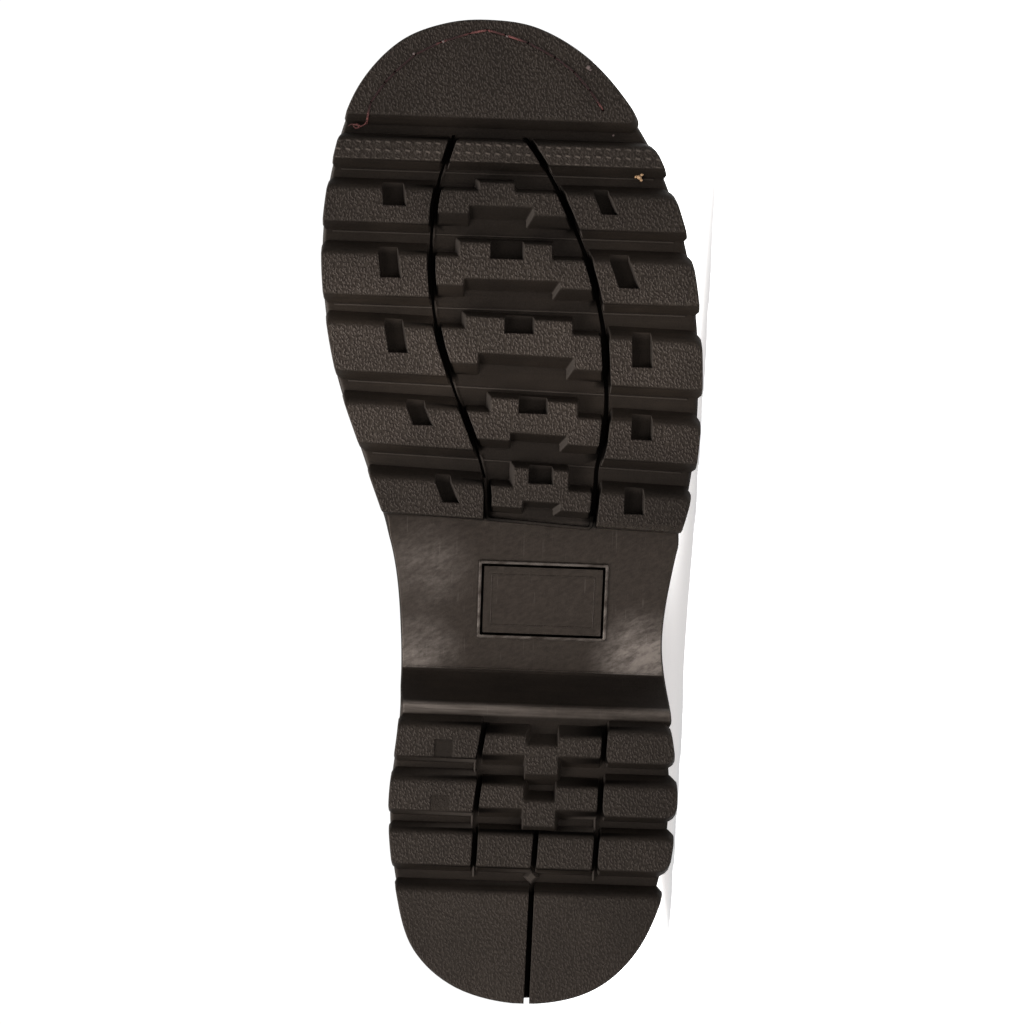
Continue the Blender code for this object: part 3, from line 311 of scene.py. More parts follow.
# Lockstitch at the toe: x, y of the needle holes from the medial end
TOE_STITCHES = (
    (270.4, -59.7), (277.0, -58.4), (283.3, -54.3), (286.8, -51.3), (292.6, -45.3), (296.9, -37.4),
    (300.0, -28.5), (301.2, -23.2), (299.8, -17.6), (297.6, -10.4), (293.2, -1.9), (288.8, 4.2),
    (283.1, 9.3), (277.0, 13.6))
# Radius of the thread and of its loose end, dip into the holes, swing of the arc between them
TOE_THREAD = 0.33
TAIL_THREAD = 0.2
THREAD_DIP = 0.55
THREAD_SWING = 0.7
# Fall of the bumper's heel slope, and the deepest place of the loose end on it
BUMPER_FALL = 1.6
TAIL_DEPTH = 4.4
# Painted highlights on the toe thread: x, y, reach
THREAD_HIGHLIGHTS = (
    (301.0, -25.5, 8.0), (299.0, -15.5, 5.0), (270.0, -61.0, 6.0), (296.9, -37.4, 2.4),
    (277.0, 13.6, 4.0))
# Loose end at the medial side: x, y, height over the groove's slope
TOE_TAIL = (
    (271.6, -59.4, 0.3), (270.3, -60.2, 0.9), (269.5, -61.4, 1.1), (270.4, -62.6, 0.8), (269.7, -63.8, 0.7),
    (268.9, -63.0, 1.2), (269.1, -61.9, 1.5), (269.9, -62.4, 1.7), (270.2, -64.4, 1.0), (269.4, -65.6, 0.7))
# Loose crumbs that stick to the tread: x, y, height over the ground, size, colour number
CRUMBS = (
    (256.6, 25.5, 3.9, 1.5, 0), (257.5, 26.3, 3.6, 1.1, 0), (255.8, 26.2, 4.1, 1.0, 0),
    (256.8, 24.5, 4.0, 0.9, 0), (292.8, -45.8, 0.0, 0.9, 1), (297.0, -36.8, 0.0, 0.8, 1),
    (299.4, -17.0, 0.0, 0.8, 1), (290.3, 8.6, 0.0, 1.3, 1), (289.6, 9.3, 0.0, 0.8, 1),
    (269.5, 17.1, 3.6, 0.6, 1))
# Points of small pieces are merged only where they meet
FINE_MERGE = 0.00001

# Moulded strokes: pitch, looseness, turn, spread of the turn, half length, half width
GRAIN = ((1.2, 0.95), 0.9, -0.75, 1.3, 0.56, 0.28)
RICE = ((2.7, 3.1), 0.1, 0.95, 0.2, 0.95, 0.5)
# Step to the side of a stroke where its shade is painted
LEEWARD = (0.3, 0.26, 0.0)
# Parts of the sole that look different, as soft spans along x, or along y between the channels
RICE_SPAN = (257.0, 258.0, 267.0, 268.0)
WAIST_LOOK = (BREAST_LINE - 0.6, BREAST_LINE, 148.6, 149.6)
LIP_LOOK = (87.8, 88.8, 91.6, 92.6)
# Span of the lip and waist left without the painted light from above
NO_TOP_LIGHT_SPAN = (91.2, 93.2, 149.0, 151.0)
INNER_SPAN = (-34.0, -24.0, 8.0, 16.0)
# Patches of painted sheen on the waist, where the lamps reflect: centre, reach, strength
SHEEN_SPOTS = (((106.0, -38.0), 17.0, 0.62), ((106.0, 33.0), 20.0, 1.2), ((134.0, -36.0), 18.0, 0.36))


# Curves and tables
def table(rows, column=1):
    """Smooth function through a table that never swings past its rows."""
    pairs = sorted((row[0], row[column]) for row in rows)
    xs = np.array([pair[0] for pair in pairs])
    ys = np.array([pair[1] for pair in pairs])
    step = np.diff(xs)
    rise = np.diff(ys) / step
    slope = np.concatenate((rise[:1], np.zeros(len(xs) - 2), rise[-1:]))
    for i in range(1, len(xs) - 1):
        if rise[i - 1] * rise[i] > 0.0:
            slope[i] = 2.0 * rise[i - 1] * rise[i] / (rise[i - 1] + rise[i])

    def value(x):
        x = np.clip(np.asarray(x, dtype=float), xs[0], xs[-1])
        i = np.clip(np.searchsorted(xs, x) - 1, 0, len(xs) - 2)
        t = (x - xs[i]) / step[i]
        start = (1.0 + 2.0 * t) * (1.0 - t) ** 2 * ys[i] + t * (1.0 - t) ** 2 * step[i] * slope[i]
        end = t ** 2 * (3.0 - 2.0 * t) * ys[i + 1] + t ** 2 * (t - 1.0) * step[i] * slope[i + 1]
        return start + end

    return value


def smooth_step(value, low, high):
    """0 below low, 1 above high, and a soft rise between them."""
    t = np.clip((np.asarray(value, dtype=float) - low) / (high - low), 0.0, 1.0)
    return t * t * (3.0 - 2.0 * t)


def span_share(value, span):
    """1 inside a soft span and 0 outside it."""
    return smooth_step(value, *span[:2]) * (1.0 - smooth_step(value, *span[2:]))


def eased(count):
    """Shares from 0 to 1 that start close together."""
    return 1.0 - np.cos(np.linspace(0.0, 0.5 * math.pi, count))


def closed_curve(points, per_span=24):
    """Smooth closed curve through plan points."""
    points = np.asarray(points, dtype=float)
    share = np.linspace(0.0, 1.0, per_span, endpoint=False)[:, None]
    spans = []
    for i in range(len(points)):
        p = [points[(i + k - 1) % len(points)] for k in range(4)]
        knots = [0.0]
        for k in range(3):
            knots.append(knots[-1] + math.sqrt(np.linalg.norm(p[k + 1] - p[k])))
        t = knots[1] + share * (knots[2] - knots[1])

        def between(a, b, low, high):
            width = knots[high] - knots[low]
            return a * (knots[high] - t) / width + b * (t - knots[low]) / width

        a1 = between(p[0], p[1], 0, 1)
        a2 = between(p[1], p[2], 1, 2)
        a3 = between(p[2], p[3], 2, 3)
        spans.append(between(between(a1, a2, 0, 2), between(a2, a3, 1, 3), 1, 2))
    return np.vstack(spans)


class Outline:
    """A closed plan outline with a medial and a lateral side between heel and toe."""

    def __init__(self, curve):
        curve = np.roll(curve, -int(np.argmin(curve[:, 0])), axis=0)
        toe = int(np.argmax(curve[:, 0]))
        self.curve = curve
        self.halves = {MEDIAL: curve[:toe + 1], LATERAL: np.vstack((curve[toe:], curve[:1]))[::-1]}
        self.start = float(curve[0, 0])
        self.end = float(curve[toe, 0])

    def y(self, side, x):
        """Edge of one side at x."""
        half = self.halves[side]
        return np.interp(x, np.maximum.accumulate(half[:, 0]), half[:, 1])

    def inset(self, medial, lateral, share=1.0):
        """Outline drawn in by a distance at each side, or by a share of it."""
        along = np.roll(self.curve, -1, axis=0) - np.roll(self.curve, 1, axis=0)
        normal = np.column_stack((along[:, 1], -along[:, 0]))
        normal = normal / np.linalg.norm(normal, axis=1)[:, None]
        distance = share * (medial + (lateral - medial) * (0.5 + 0.5 * normal[:, 1]))
        return Outline(self.curve - normal * distance[:, None])

    def stations(self, count):
        """Places along x, closer together at the round ends."""
        turn = np.linspace(0.0, math.pi, count)
        return self.start + (self.end - self.start) * 0.5 * (1.0 - np.cos(turn))

    def once_round(self, count):
        """Plan points from the heel along the medial side to the toe, and back to the heel."""
        x = self.stations(count)
        there, back = [np.column_stack((x, self.y(side, x))) for side in (MEDIAL, LATERAL)]
        return np.vstack((there, back[-2::-1]))


lug_outline = Outline(closed_curve(OUTLINE))
shoulder_outline = lug_outline.inset(*SHOULDER)


def waist_share(plan):
    """How far plan points belong to the waist, where no lug stands."""
    x, y = plan.T
    return np.where(y > 0.0, span_share(x, WAIST_SPANS[LATERAL]), span_share(x, WAIST_SPANS[MEDIAL]))


def body_share(plan):
    """The body stands in from the lugs, most at the outer side of the heel, but not on the waist."""
    x, y = plan.T
    outer = 1.0 - BODY_DROP * smooth_step(x, *BODY_DROP_X)
    kept = BODY_INNER + (outer - BODY_INNER) * smooth_step(y, *BODY_ACROSS_Y)
    return kept - (kept + WAIST_OUT) * waist_share(plan)


body_outline = lug_outline.inset(*BAND, body_share(lug_outline.curve))
edge_share = 1.0 - WAIST_EDGE * waist_share(body_outline.curve)
foot_outline = body_outline.inset(BAND_ROUND, BAND_ROUND, edge_share)
channel = {MEDIAL: table(CHANNELS, 1), LATERAL: table(CHANNELS, 2)}
underside_flat = table(UNDERSIDE)
top_flat = table(TOP)


def tread_lift(x):
    """Rise of the walking plane towards the toe."""
    share = (np.asarray(x, dtype=float) - SPRING_START) / (lug_outline.end - SPRING_START)
    return TOE_SPRING * np.clip(share, 0.0, 1.1) ** 2


def sole_top(x):
    """Top of the sole, with the toe spring."""
    return top_flat(x) + tread_lift(x)


def feather_height(x):
    """Height of the upper's lower edge, on the welt."""
    return sole_top(x) + WELT_THICKNESS + 2.0 * GAP


def ground(x, y):
    """Underside between the lugs, with a slight crown across the waist."""
    near = foot_outline.y(MEDIAL, x)
    far = foot_outline.y(LATERAL, x)
    across = (2.0 * y - near - far) / np.maximum(far - near, 1.0)
    crown = WAIST_CROWN * span_share(x, CROWN_SPAN) * (1.0 - np.clip(across, -1.0, 1.0) ** 4)
    return underside_flat(x) + tread_lift(x) - crown


# Mesh helpers
def add_face(bm, verts, material=0):
    """Face through the verts that differ, if there are enough of them."""
    unique = list(dict.fromkeys(verts))
    if len(unique) > 2:
        face = bm.faces.new(unique)
        face.material_index = material


def add_rows(bm, rows, close_rows=False, close_columns=False, material=0):
    """Skin a grid of points; either direction may close on itself."""
    grid = [[bm.verts.new(Vector(p)) for p in row] for row in rows]
    pairs = list(zip(grid[:-1], grid[1:])) + ([(grid[-1], grid[0])] if close_rows else [])
    count = len(grid[0])
    for number, (low, high) in enumerate(pairs):
        index = material[number % len(material)] if isinstance(material, list) else material
        for i in range(count if close_columns else count - 1):
            k = (i + 1) % count
            add_face(bm, (low[i], low[k], high[k], high[i]), index)
    return grid


def add_loft(bm, loops):
    """Closed solid through loops that have the same corners."""
    grid = add_rows(bm, loops, close_columns=True)
    add_face(bm, grid[0])
    add_face(bm, grid[-1])


def add_strips(bm, levels):
    """Closed solid whose levels are pairs of point rows, medial and lateral, from heel to toe."""
    rows = [[[bm.verts.new(Vector(p)) for p in row] for row in pair] for pair in levels]
    last = len(rows[0][0]) - 1
    for i in range(last):
        for level in (rows[0], rows[-1]):
            add_face(bm, (level[0][i], level[0][i + 1], level[1][i + 1], level[1][i]))
    for low, high in zip(rows[:-1], rows[1:]):
        for side in (0, 1):
            for i in range(last):
                add_face(bm, (low[side][i], low[side][i + 1], high[side][i + 1], high[side][i]))
        for end in (0, last):
            add_face(bm, (low[0][end], low[1][end], high[1][end], high[0][end]))


def strip(x, medial, lateral, z):
    """One level of such a solid."""
    return [np.column_stack((x, y, z)) for y in (medial, lateral)]


def add_peg(bm, centre, base, sections, sides):
    """Upright solid about a plan point, from its sections: height over the base, radius."""
    turns = np.arange(sides) * 2.0 * math.pi / sides
    add_loft(bm, [[(centre[0] + radius * math.cos(a), centre[1] + radius * math.sin(a), base + height)
                   for a in turns] for height, radius in sections])


def new_item(name, bm, merge=0.0005):
    """Object made from a working mesh, with doubles merged and normals outward."""
    bmesh.ops.remove_doubles(bm, verts=bm.verts[:], dist=merge)
    bmesh.ops.dissolve_degenerate(bm, dist=merge, edges=bm.edges[:])
    bmesh.ops.recalc_face_normals(bm, faces=bm.faces[:])
    mesh = bpy.data.meshes.new(name)
    bm.to_mesh(mesh)
    bm.free()
    item = bpy.data.objects.new(name, mesh)
    bpy.context.scene.collection.objects.link(item)
    return item


def settle(item):
    """Replace the mesh of an item with the result of its modifiers."""
    graph = bpy.context.evaluated_depsgraph_get()
    shaped = bpy.data.meshes.new_from_object(item.evaluated_get(graph))
    item.modifiers.clear()
    item.data = shaped


def combine(item, operation, adders):
    """Add to an item, or cut from it, the solids of some adding functions."""
    bm = bmesh.new()
    for adder in adders:
        adder(bm)
    tool = new_item("shape", bm)
    step = item.modifiers.new(operation, "BOOLEAN")
    step.operation = operation
    step.solver = "EXACT"
    step.use_self = True
    step.object = tool
    settle(item)
    bpy.data.objects.remove(tool, do_unlink=True)


def read_points(mesh):
    """Coordinates of all points, one after another."""
    points = np.zeros(len(mesh.vertices) * 3)
    mesh.vertices.foreach_get("co", points)
    return points


def finish_piece(item, materials, replaced=(), sharp=None):
    """Keep the place in the boot with each point, lay the piece down and fix it to the boot."""
    mesh = item.data
    place = mesh.attributes.new("place", "FLOAT_VECTOR", "POINT")
    place.data.foreach_set("vector", read_points(mesh))
    mesh.transform(TO_FRAME)
    if mesh.materials:
        mesh.materials.clear()
    for material in materials:
        mesh.materials.append(material)
    mesh.polygons.foreach_set("use_smooth", [True] * len(mesh.polygons))
    if sharp:
        mesh.set_sharp_from_angle(angle=math.radians(sharp))
        even = item.modifiers.new("Even normals", "WEIGHTED_NORMAL")
        even.keep_sharp = True
    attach(item, "root")
    if replaced:
        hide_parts(*replaced)


# Outsole
def flank(height, soft, slope, root=LUG_ROOT):
    """Outward step of a lug's side at a height over the ground: a soft edge, then the slope."""
    length = math.hypot(slope, root)
    t = math.sqrt(height * length / (soft * root))
    if t < 1.0:
        return -soft * (1.0 - t) ** 2 + soft * slope / length * t * t
    return slope * height / root


def tilted(x_line, tilt, boundary):
    """Point where a row edge, tilted in plan, meets a boundary y(x)."""
    x = np.asarray(x_line, dtype=float)
    for _ in range(6):
        x = x_line - math.tan(math.radians(tilt)) * boundary(x)
    return x, boundary(x) + 0.0 * x


def end_shares(length, radius):
    """Stations of a lug between its ends, close together round the corners."""
    radius = min(radius, CORNER_LIMIT * length)
    near = radius * eased(LUG_STATIONS)
    inside = np.linspace(radius, length - radius, LUG_STATIONS + 2)[1:-1]
    return np.concatenate((near, inside, length - near[::-1]))


def corner_inset(distance, length, radius):
    """How far a rounded corner draws a side in near the ends of a lug."""
    radius = min(radius, CORNER_LIMIT * length)
    short = np.clip(radius - np.minimum(distance, length - distance), 0.0, radius)
    return radius - np.sqrt(radius ** 2 - short ** 2)


def heel_slit(number):
    """Centre line y(x) of one of the heel's slits."""
    return lambda x: np.interp(x, HEEL_SLITS[:, 0], HEEL_SLITS[:, 1 + number])


def lug_length(row, low):
    """Heel end and length of a lug at a height over the ground."""
    toe, heel, _, toe_slope, heel_slope = row
    start = heel - flank(low, HEEL_SOFT, heel_slope)
    return start, toe + flank(low, TOE_SOFT, toe_slope) - start


def slit_half(half, low):
    """Half width of a slit at a height over the ground."""
    return half - CHANNEL_DRAFT * low / LUG_ROOT - flank(low, SLIT_SOFT, 0.0)


def add_lug(bm, row, side, inner, corners, half):
    """Lug between the sole's edge and a channel."""
    levels = []
    for height in LUG_LEVELS:
        low = min(height, LUG_ROOT)
        start, length = lug_length(row, low)
        at = end_shares(length, max(corners))
        near_heel, near_toe = [corner_inset(at, length, radius) for radius in corners]
        drawn = np.where(at < 0.5 * length, near_heel, near_toe)
        tucked = smooth_step(height, TUCK_START, LUG_SHOULDER)
        step = flank(low, OUTER_SOFT, 0.0) - drawn
        slit = slit_half(half, low) + CHANNEL_CORNER * drawn

        def edge(x):
            outer = lug_outline.y(side, x) * (1.0 - tucked) + shoulder_outline.y(side, x) * tucked
            return outer + side * step

        def wall(x):
            return inner(x) + side * slit

        pair = []
        for boundary in ((edge, wall) if side == MEDIAL else (wall, edge)):
            x, y = tilted(start + at, row[2], boundary)
            pair.append(np.column_stack((x, y, height + tread_lift(x))))
        levels.append(pair)
    add_strips(bm, levels)


def add_inner_lug(bm, row, near, far):
    """Lug between two slits."""
    levels = []
    for height in HEIGHTS + (LUG_ROOT, LUG_SHOULDER):
        low = min(height, LUG_ROOT)
        start, length = lug_length(row, low)
        at = end_shares(length, INNER_CORNER)
        slit = slit_half(HEEL_SLIT_HALF, low) + corner_inset(at, length, INNER_CORNER)
        x = start + at
        levels.append(strip(x, near(x) + slit, far(x) - slit, height + tread_lift(x)))
    add_strips(bm, levels)


def rounded_loop(corners, radius, steps=3):
    """Plan loop with its corners rounded."""
    corners = [np.asarray(c, dtype=float) for c in corners]
    points = []
    for i, here in enumerate(corners):
        start, end = [here + away * min(radius / max(np.linalg.norm(away), 1e-6), CORNER_LIMIT)
                      for away in (corners[i - 1] - here, corners[(i + 1) % len(corners)] - here)]
        for t in np.linspace(0.0, 1.0, steps + 1):
            points.append((1.0 - t) ** 2 * start + 2.0 * t * (1.0 - t) * here + t * t * end)
    return np.array(points)


def add_block(bm, block, medial_line, lateral_line, half):
    """Centre block: a tab towards the toe, shoulders, and two legs with a notch at the heel."""
    (tilt, tab_toe, shoulder_toe, notch_heel, leg_heel,
     tab_medial, tab_lateral, notch_medial, notch_lateral, toe_slope, heel_slope) = block
    toe_soft, heel_soft, notch_soft = BLOCK_SOFT
    tab = 1.0 if tab_toe >= shoulder_toe else -1.0
    notch = 1.0 if notch_heel >= leg_heel else -1.0
    notch_slope = NOTCH_SLOPES[0 if notch_heel > leg_heel else 1]
    middle = 0.5 * (leg_heel + shoulder_toe)
    loops = []
    for height in HEIGHTS + (BLOCK_ROOT,):
        side = flank(height, SLIT_SOFT, CHANNEL_DRAFT, BLOCK_ROOT)
        lean = flank(height, notch_soft, TAB_SLOPE, BLOCK_ROOT)
        hollow = flank(height, notch_soft, notch_slope, BLOCK_ROOT)
        toe = flank(height, toe_soft, toe_slope, BLOCK_ROOT)
        heel = flank(height, heel_soft, heel_slope, BLOCK_ROOT)
        tab_end, shoulder_end = tab_toe + toe, shoulder_toe + toe
        notch_end, leg_end = notch_heel - heel, leg_heel - heel

        def medial(x):
            return medial_line(x) + half - side

        def lateral(x):
            return lateral_line(x) - half + side

        def flat(y):
            return lambda x: y

        tab_near, tab_far = flat(tab_medial - tab * lean), flat(tab_lateral + tab * side)
        notch_near, notch_far = flat(notch_medial + notch * side), flat(notch_lateral - notch * hollow)
        corners = []
        for x_line, boundary in (
                (leg_end, medial), (middle, medial), (shoulder_end, medial), (shoulder_end, tab_near),
                (tab_end, tab_near), (tab_end, tab_far), (shoulder_end, tab_far),
                (shoulder_end, lateral), (middle, lateral), (leg_end, lateral), (leg_end, notch_far),
                (notch_end, notch_far), (notch_end, notch_near), (leg_end, notch_near)):
            x, y = tilted(x_line, tilt, boundary)
            corners.append((float(x), float(y)))
        loop = rounded_loop(corners, BLOCK_CORNER)
        loops.append(np.column_stack((loop, height + tread_lift(loop[:, 0]))))
    add_loft(bm, loops)


def end_level(height):
    """Height of an end lug's flank at a level, and the sole's edge there."""
    low = min(height, LUG_ROOT)
    tucked = float(smooth_step(height, TUCK_START, LUG_SHOULDER))
    drawn = -flank(low, OUTER_SOFT, 0.0)
    return low, lug_outline.inset(*[drawn + tucked * width for width in SHOULDER])


def add_heel_back(bm, side):
    """Half of the lug that follows the heel's round end, beside its slit."""
    levels = []
    for height in LUG_LEVELS:
        low, outline = end_level(height)
        edge = HEEL_BACK_TOE + flank(low, TOE_SOFT, HEEL_BACK_SLOPE)
        aside = side * (HEEL_BACK_SLIT - flank(low, SLIT_SOFT, 0.0))
        near = outline.start + np.linspace(0.0, HEEL_BACK_TOE, 400)
        tip = near[(outline.y(side, near) - heel_slit(1)(near) - aside) * side > 1.0][0]
        radius = HEEL_BACK_CORNERS[side]
        last = edge - radius * eased(7)[::-1]
        x = np.concatenate((tip + (last[0] - tip) * eased(26), last[1:]))
        rim = outline.y(side, x) - side * corner_inset(edge - x, 2.0 * edge, radius)
        middle = heel_slit(1)(x) + aside
        pair = (rim, middle) if side == MEDIAL else (middle, rim)
        levels.append(strip(x, *pair, height + tread_lift(x)))
    add_strips(bm, levels)


def add_bumper(bm):
    """Lug that follows the toe's round end."""
    levels = []
    for height in LUG_LEVELS:
        low, outline = end_level(height)
        edge = BUMPER_HEEL - flank(low, HEEL_SOFT, BUMPER_SLOPE)
        near = edge + BUMPER_CORNERS[1] * eased(9)
        far = near[-1] + (outline.end - near[-1]) * np.sin(np.linspace(0.0, 0.5 * math.pi, 36))
        x = np.concatenate((near, far[1:]))
        length = 2.0 * (outline.end - edge)
        pair = [outline.y(side, x) - side * corner_inset(x - edge, length, radius)
                for side, radius in zip((MEDIAL, LATERAL), BUMPER_CORNERS)]
        levels.append(strip(x, *pair, height + tread_lift(x)))
    add_strips(bm, levels)


def add_lugs(bm):
    """All lugs and centre blocks of the forefoot and the heel."""
    slits = {MEDIAL: heel_slit(0), LATERAL: heel_slit(2)}
    zones = ((FOREFOOT_ROWS, FOREFOOT_BLOCKS, channel, FOREFOOT_CORNERS, CHANNEL_HALF),
             (HEEL_ROWS, HEEL_BLOCKS, slits, HEEL_CORNERS, HEEL_SLIT_HALF))
    for rows, _, walls, corners, half in zones:
        for row in rows:
            for side in (MEDIAL, LATERAL):
                add_lug(bm, row, side, walls[side], corners[side], half)
    for _, blocks, walls, _, half in zones:
        for block in blocks:
            add_block(bm, block, walls[MEDIAL], walls[LATERAL], half)
    for number in (0, 1):
        add_inner_lug(bm, HEEL_ROWS[-1], heel_slit(number), heel_slit(number + 1))
    for side in (MEDIAL, LATERAL):
        add_heel_back(bm, side)
    add_bumper(bm)


def add_rib(bm, line, half, rise):
    """Thin moulded rib that stands out from the underside along a plan line."""
    line = np.asarray(line, dtype=float)
    along = np.gradient(line, axis=0)
    along = along / np.linalg.norm(along, axis=1)[:, None]
    normal = np.column_stack((-along[:, 1], along[:, 0]))
    section = ((-1.0, RIB_ROOT), (-1.0, RIB_FOOT), (-0.5, -rise), (0.5, -rise), (1.0, RIB_FOOT),
               (1.0, RIB_ROOT))
    loops = []
    for point, aside in zip(line, normal):
        base = float(ground(*point))
        loops.append([(*(point + aside * half * step), base + up) for step, up in section])
    add_loft(bm, loops)


def mould_line(row):
    """Place of the mould line behind a row of lugs."""
    return row[1] - MOULD_LINE[0] * row[4] - MOULD_LINE[1]


def add_ribs(bm):
    """Mould lines on the groove floors, the rim behind the last block, the flash and the breast's edge."""
    t = np.linspace(0.0, 1.0, 12)[:, None]
    for row in FOREFOOT_ROWS[:-1]:
        near, far = [np.array(tilted(mould_line(row), row[2], lambda x: shoulder_outline.y(side, x) - side))
                     for side in (MEDIAL, LATERAL)]
        add_rib(bm, near + (far - near) * t, *MOULD_RIB)
    for ahead, behind in zip(FOREFOOT_ROWS[:-1], FOREFOOT_ROWS[1:]):
        x = np.linspace(behind[0] + 2.0, ahead[1] - 1.0, 7)
        add_rib(bm, np.column_stack((x, channel[MEDIAL](x) + 0.5)), *CHANNEL_RIB)
    start, end = [(x, float(channel[side](x)) + 0.2) for side, x in RIM_ENDS]
    rim = rounded_loop((start, *RIM_CORNERS, end), RIM_RADIUS)
    add_rib(bm, rim[3:-3], *RIM_RIB)
    for toe, heel, y in HEEL_FLASH:
        x = np.linspace(heel, toe, 5)
        add_rib(bm, np.column_stack((x, np.full(5, y))), *FLASH_RIB)
    across = np.linspace(*BREAST_SPAN, 24)
    add_rib(bm, np.column_stack((np.full(24, BREAST_LINE), across)), *BREAST_RIB)
    add_peg(bm, HEEL_CROSSING, 0.0, CROSSING_SECTIONS, 4)


def label_loop(inset, rise, radius=LABEL_CORNER):
    """Loop inside the label's edge, at a height over the ground."""
    toe, heel, medial, lateral = LABEL
    corners = np.array([(heel + inset, medial + inset), (heel + inset, lateral - inset),
                        (toe - inset, lateral - inset), (toe - inset, medial + inset)])
    spread = []
    for a, b in zip(corners, np.roll(corners, -1, axis=0)):
        spread += [a + (b - a) * t for t in np.linspace(0.0, 1.0, 8)[:-1]]
    plan = rounded_loop(spread, radius)
    return np.column_stack((plan, ground(*plan.T) + rise))


def add_label(bm):
    """Raised frame of the blank plate on the waist."""
    for outer, width, rise in LABEL_FRAMES:
        inner = outer + width
        soft = 0.3 * width
        rows = [label_loop(*row) for row in (
            (outer, 1.6), (outer, -0.4 * rise), (outer + 0.4 * soft, -0.85 * rise), (outer + soft, -rise),
            (inner - soft, -rise), (inner - 0.4 * soft, -0.85 * rise), (inner, -0.4 * rise), (inner, 1.6))]
        add_rows(bm, rows, close_rows=True, close_columns=True)


def add_label_groove(bm):
    """Deep line between the frame and the plate."""
    inset, width, depth, corner = LABEL_GROOVE
    rows = [label_loop(*row, corner) for row in (
        (inset, -2.5), (inset, depth), (inset + width, depth), (inset + width + 0.25, -2.5))]
    add_rows(bm, rows, close_rows=True, close_columns=True)


def add_trenches(bm):
    """The channels run on, deeper, across the grooves: the lateral one wide, the medial one narrow."""
    for side, start, aside, half in TRENCHES:
        x = np.linspace(start, TRENCH_TOE, 90)
        y = channel[side](x) + aside
        base = ground(x, y)
        add_strips(bm, [strip(x, y - spread, y + spread, base + rise)
                        for rise, spread in ((-7.0, half), (0.0, half), (1.2, half - 0.2))])


def add_needle_holes(bm):
    """Holes of the lockstitch in the toe bumper."""
    for x, y in TOE_STITCHES[1:]:
        add_peg(bm, (x, y), float(tread_lift(x)), HOLE_SECTIONS, 8)


def slanted(x, toe, heel, slant):
    """Sideways step of a pocket's walls at x."""
    return slant * np.clip((x - heel) / (toe - heel), 0.0, 1.0)


def add_pockets(bm):
    """Pockets, open at the toe edge of their lug, and the shallow squares."""
    for toe, heel, medial, lateral, slant, depth in POCKETS + SQUARES:
        reach = POCKET_REACH if depth > 1.0 else 0.0
        levels = []
        for height, lip, lean in POCKET_LEVELS + ((depth, 0.0, 0.0),):
            x = np.append(np.linspace(heel - lip, toe, 4), (toe + 0.5 * reach + 0.1, toe + reach + 0.2))
            aside = slanted(x, toe, heel, slant)
            levels.append(strip(x, medial - lip - aside, lateral + lip + lean - aside,
                                height + tread_lift(x)))
        add_strips(bm, levels)


def base_rings():
    """Sections of the sole's body from heel to toe, each once round."""
    clear = [x for x in lug_outline.stations(130) if x < FINE_SPAN[0] or x > FINE_SPAN[1]]
    fine = np.unique(np.concatenate([np.arange(*span) for span in FINE_STATIONS]))
    stations = np.sort(np.concatenate((clear, fine)))
    share = (stations - lug_outline.start) / (lug_outline.end - lug_outline.start)
    foot = [(BAND_ROUND * (1.0 - math.sin(turn)), BAND_ROUND * (1.0 - math.cos(turn)), 0.0)
            for turn in np.linspace(0.0, 0.5 * math.pi, 6)]
    sides = {MEDIAL: [], LATERAL: []}
    for inset, rise, part in foot + BAND_PROFILE:
        outline = body_outline.inset(inset, inset, edge_share)
        x = outline.start + (outline.end - outline.start) * share
        z = (underside_flat(x) + tread_lift(x)) * (1.0 - part) + sole_top(x) * part + rise
        for side in sides:
            sides[side].append(np.column_stack((x, outline.y(side, x), z)))
    rings = []
    for i in range(len(share)):
        near, far = [sides[side][0][i] for side in (MEDIAL, LATERAL)]
        under = []
        for t in np.linspace(0.0, 1.0, 22):
            x, y, _ = near + (far - near) * t
            under.append((x, y, float(ground(x, y))))
        up = [line[i] for line in sides[LATERAL][1:]]
        down = [line[i] for line in sides[MEDIAL][:0:-1]]
        rings.append(under + up + down)
    return rings


def make_outsole():
    """Body of the sole, with its lugs and ribs added and its lines, holes and pockets cut."""
    bm = bmesh.new()
    add_rows(bm, base_rings(), close_columns=True)
    item = new_item("boot_outsole", bm)
    combine(item, "UNION", (add_lugs,))
    combine(item, "UNION", (add_ribs, add_label))
    combine(item, "DIFFERENCE", (add_label_groove, add_trenches, add_needle_holes))
    combine(item, "DIFFERENCE", (add_pockets,))
    return item


def row_place(row, x, y):
    """Place along the sole with the tilt of a row taken out."""
    return x + math.tan(math.radians(row[2])) * y


def in_row(row, x, y):
    """Whether points lie within a row of lugs."""
    along = row_place(row, x, y)
    return (along > row[1] - 0.6) & (along < row[0] + 1.2)


def within(x, y, box, spare=0.0):
    """Whether points lie within a plan box or a little outside it."""
    toe, heel, medial, lateral = box
    return (x > heel - spare) & (x < toe + spare) & (y > medial - spare) & (y < lateral + spare)


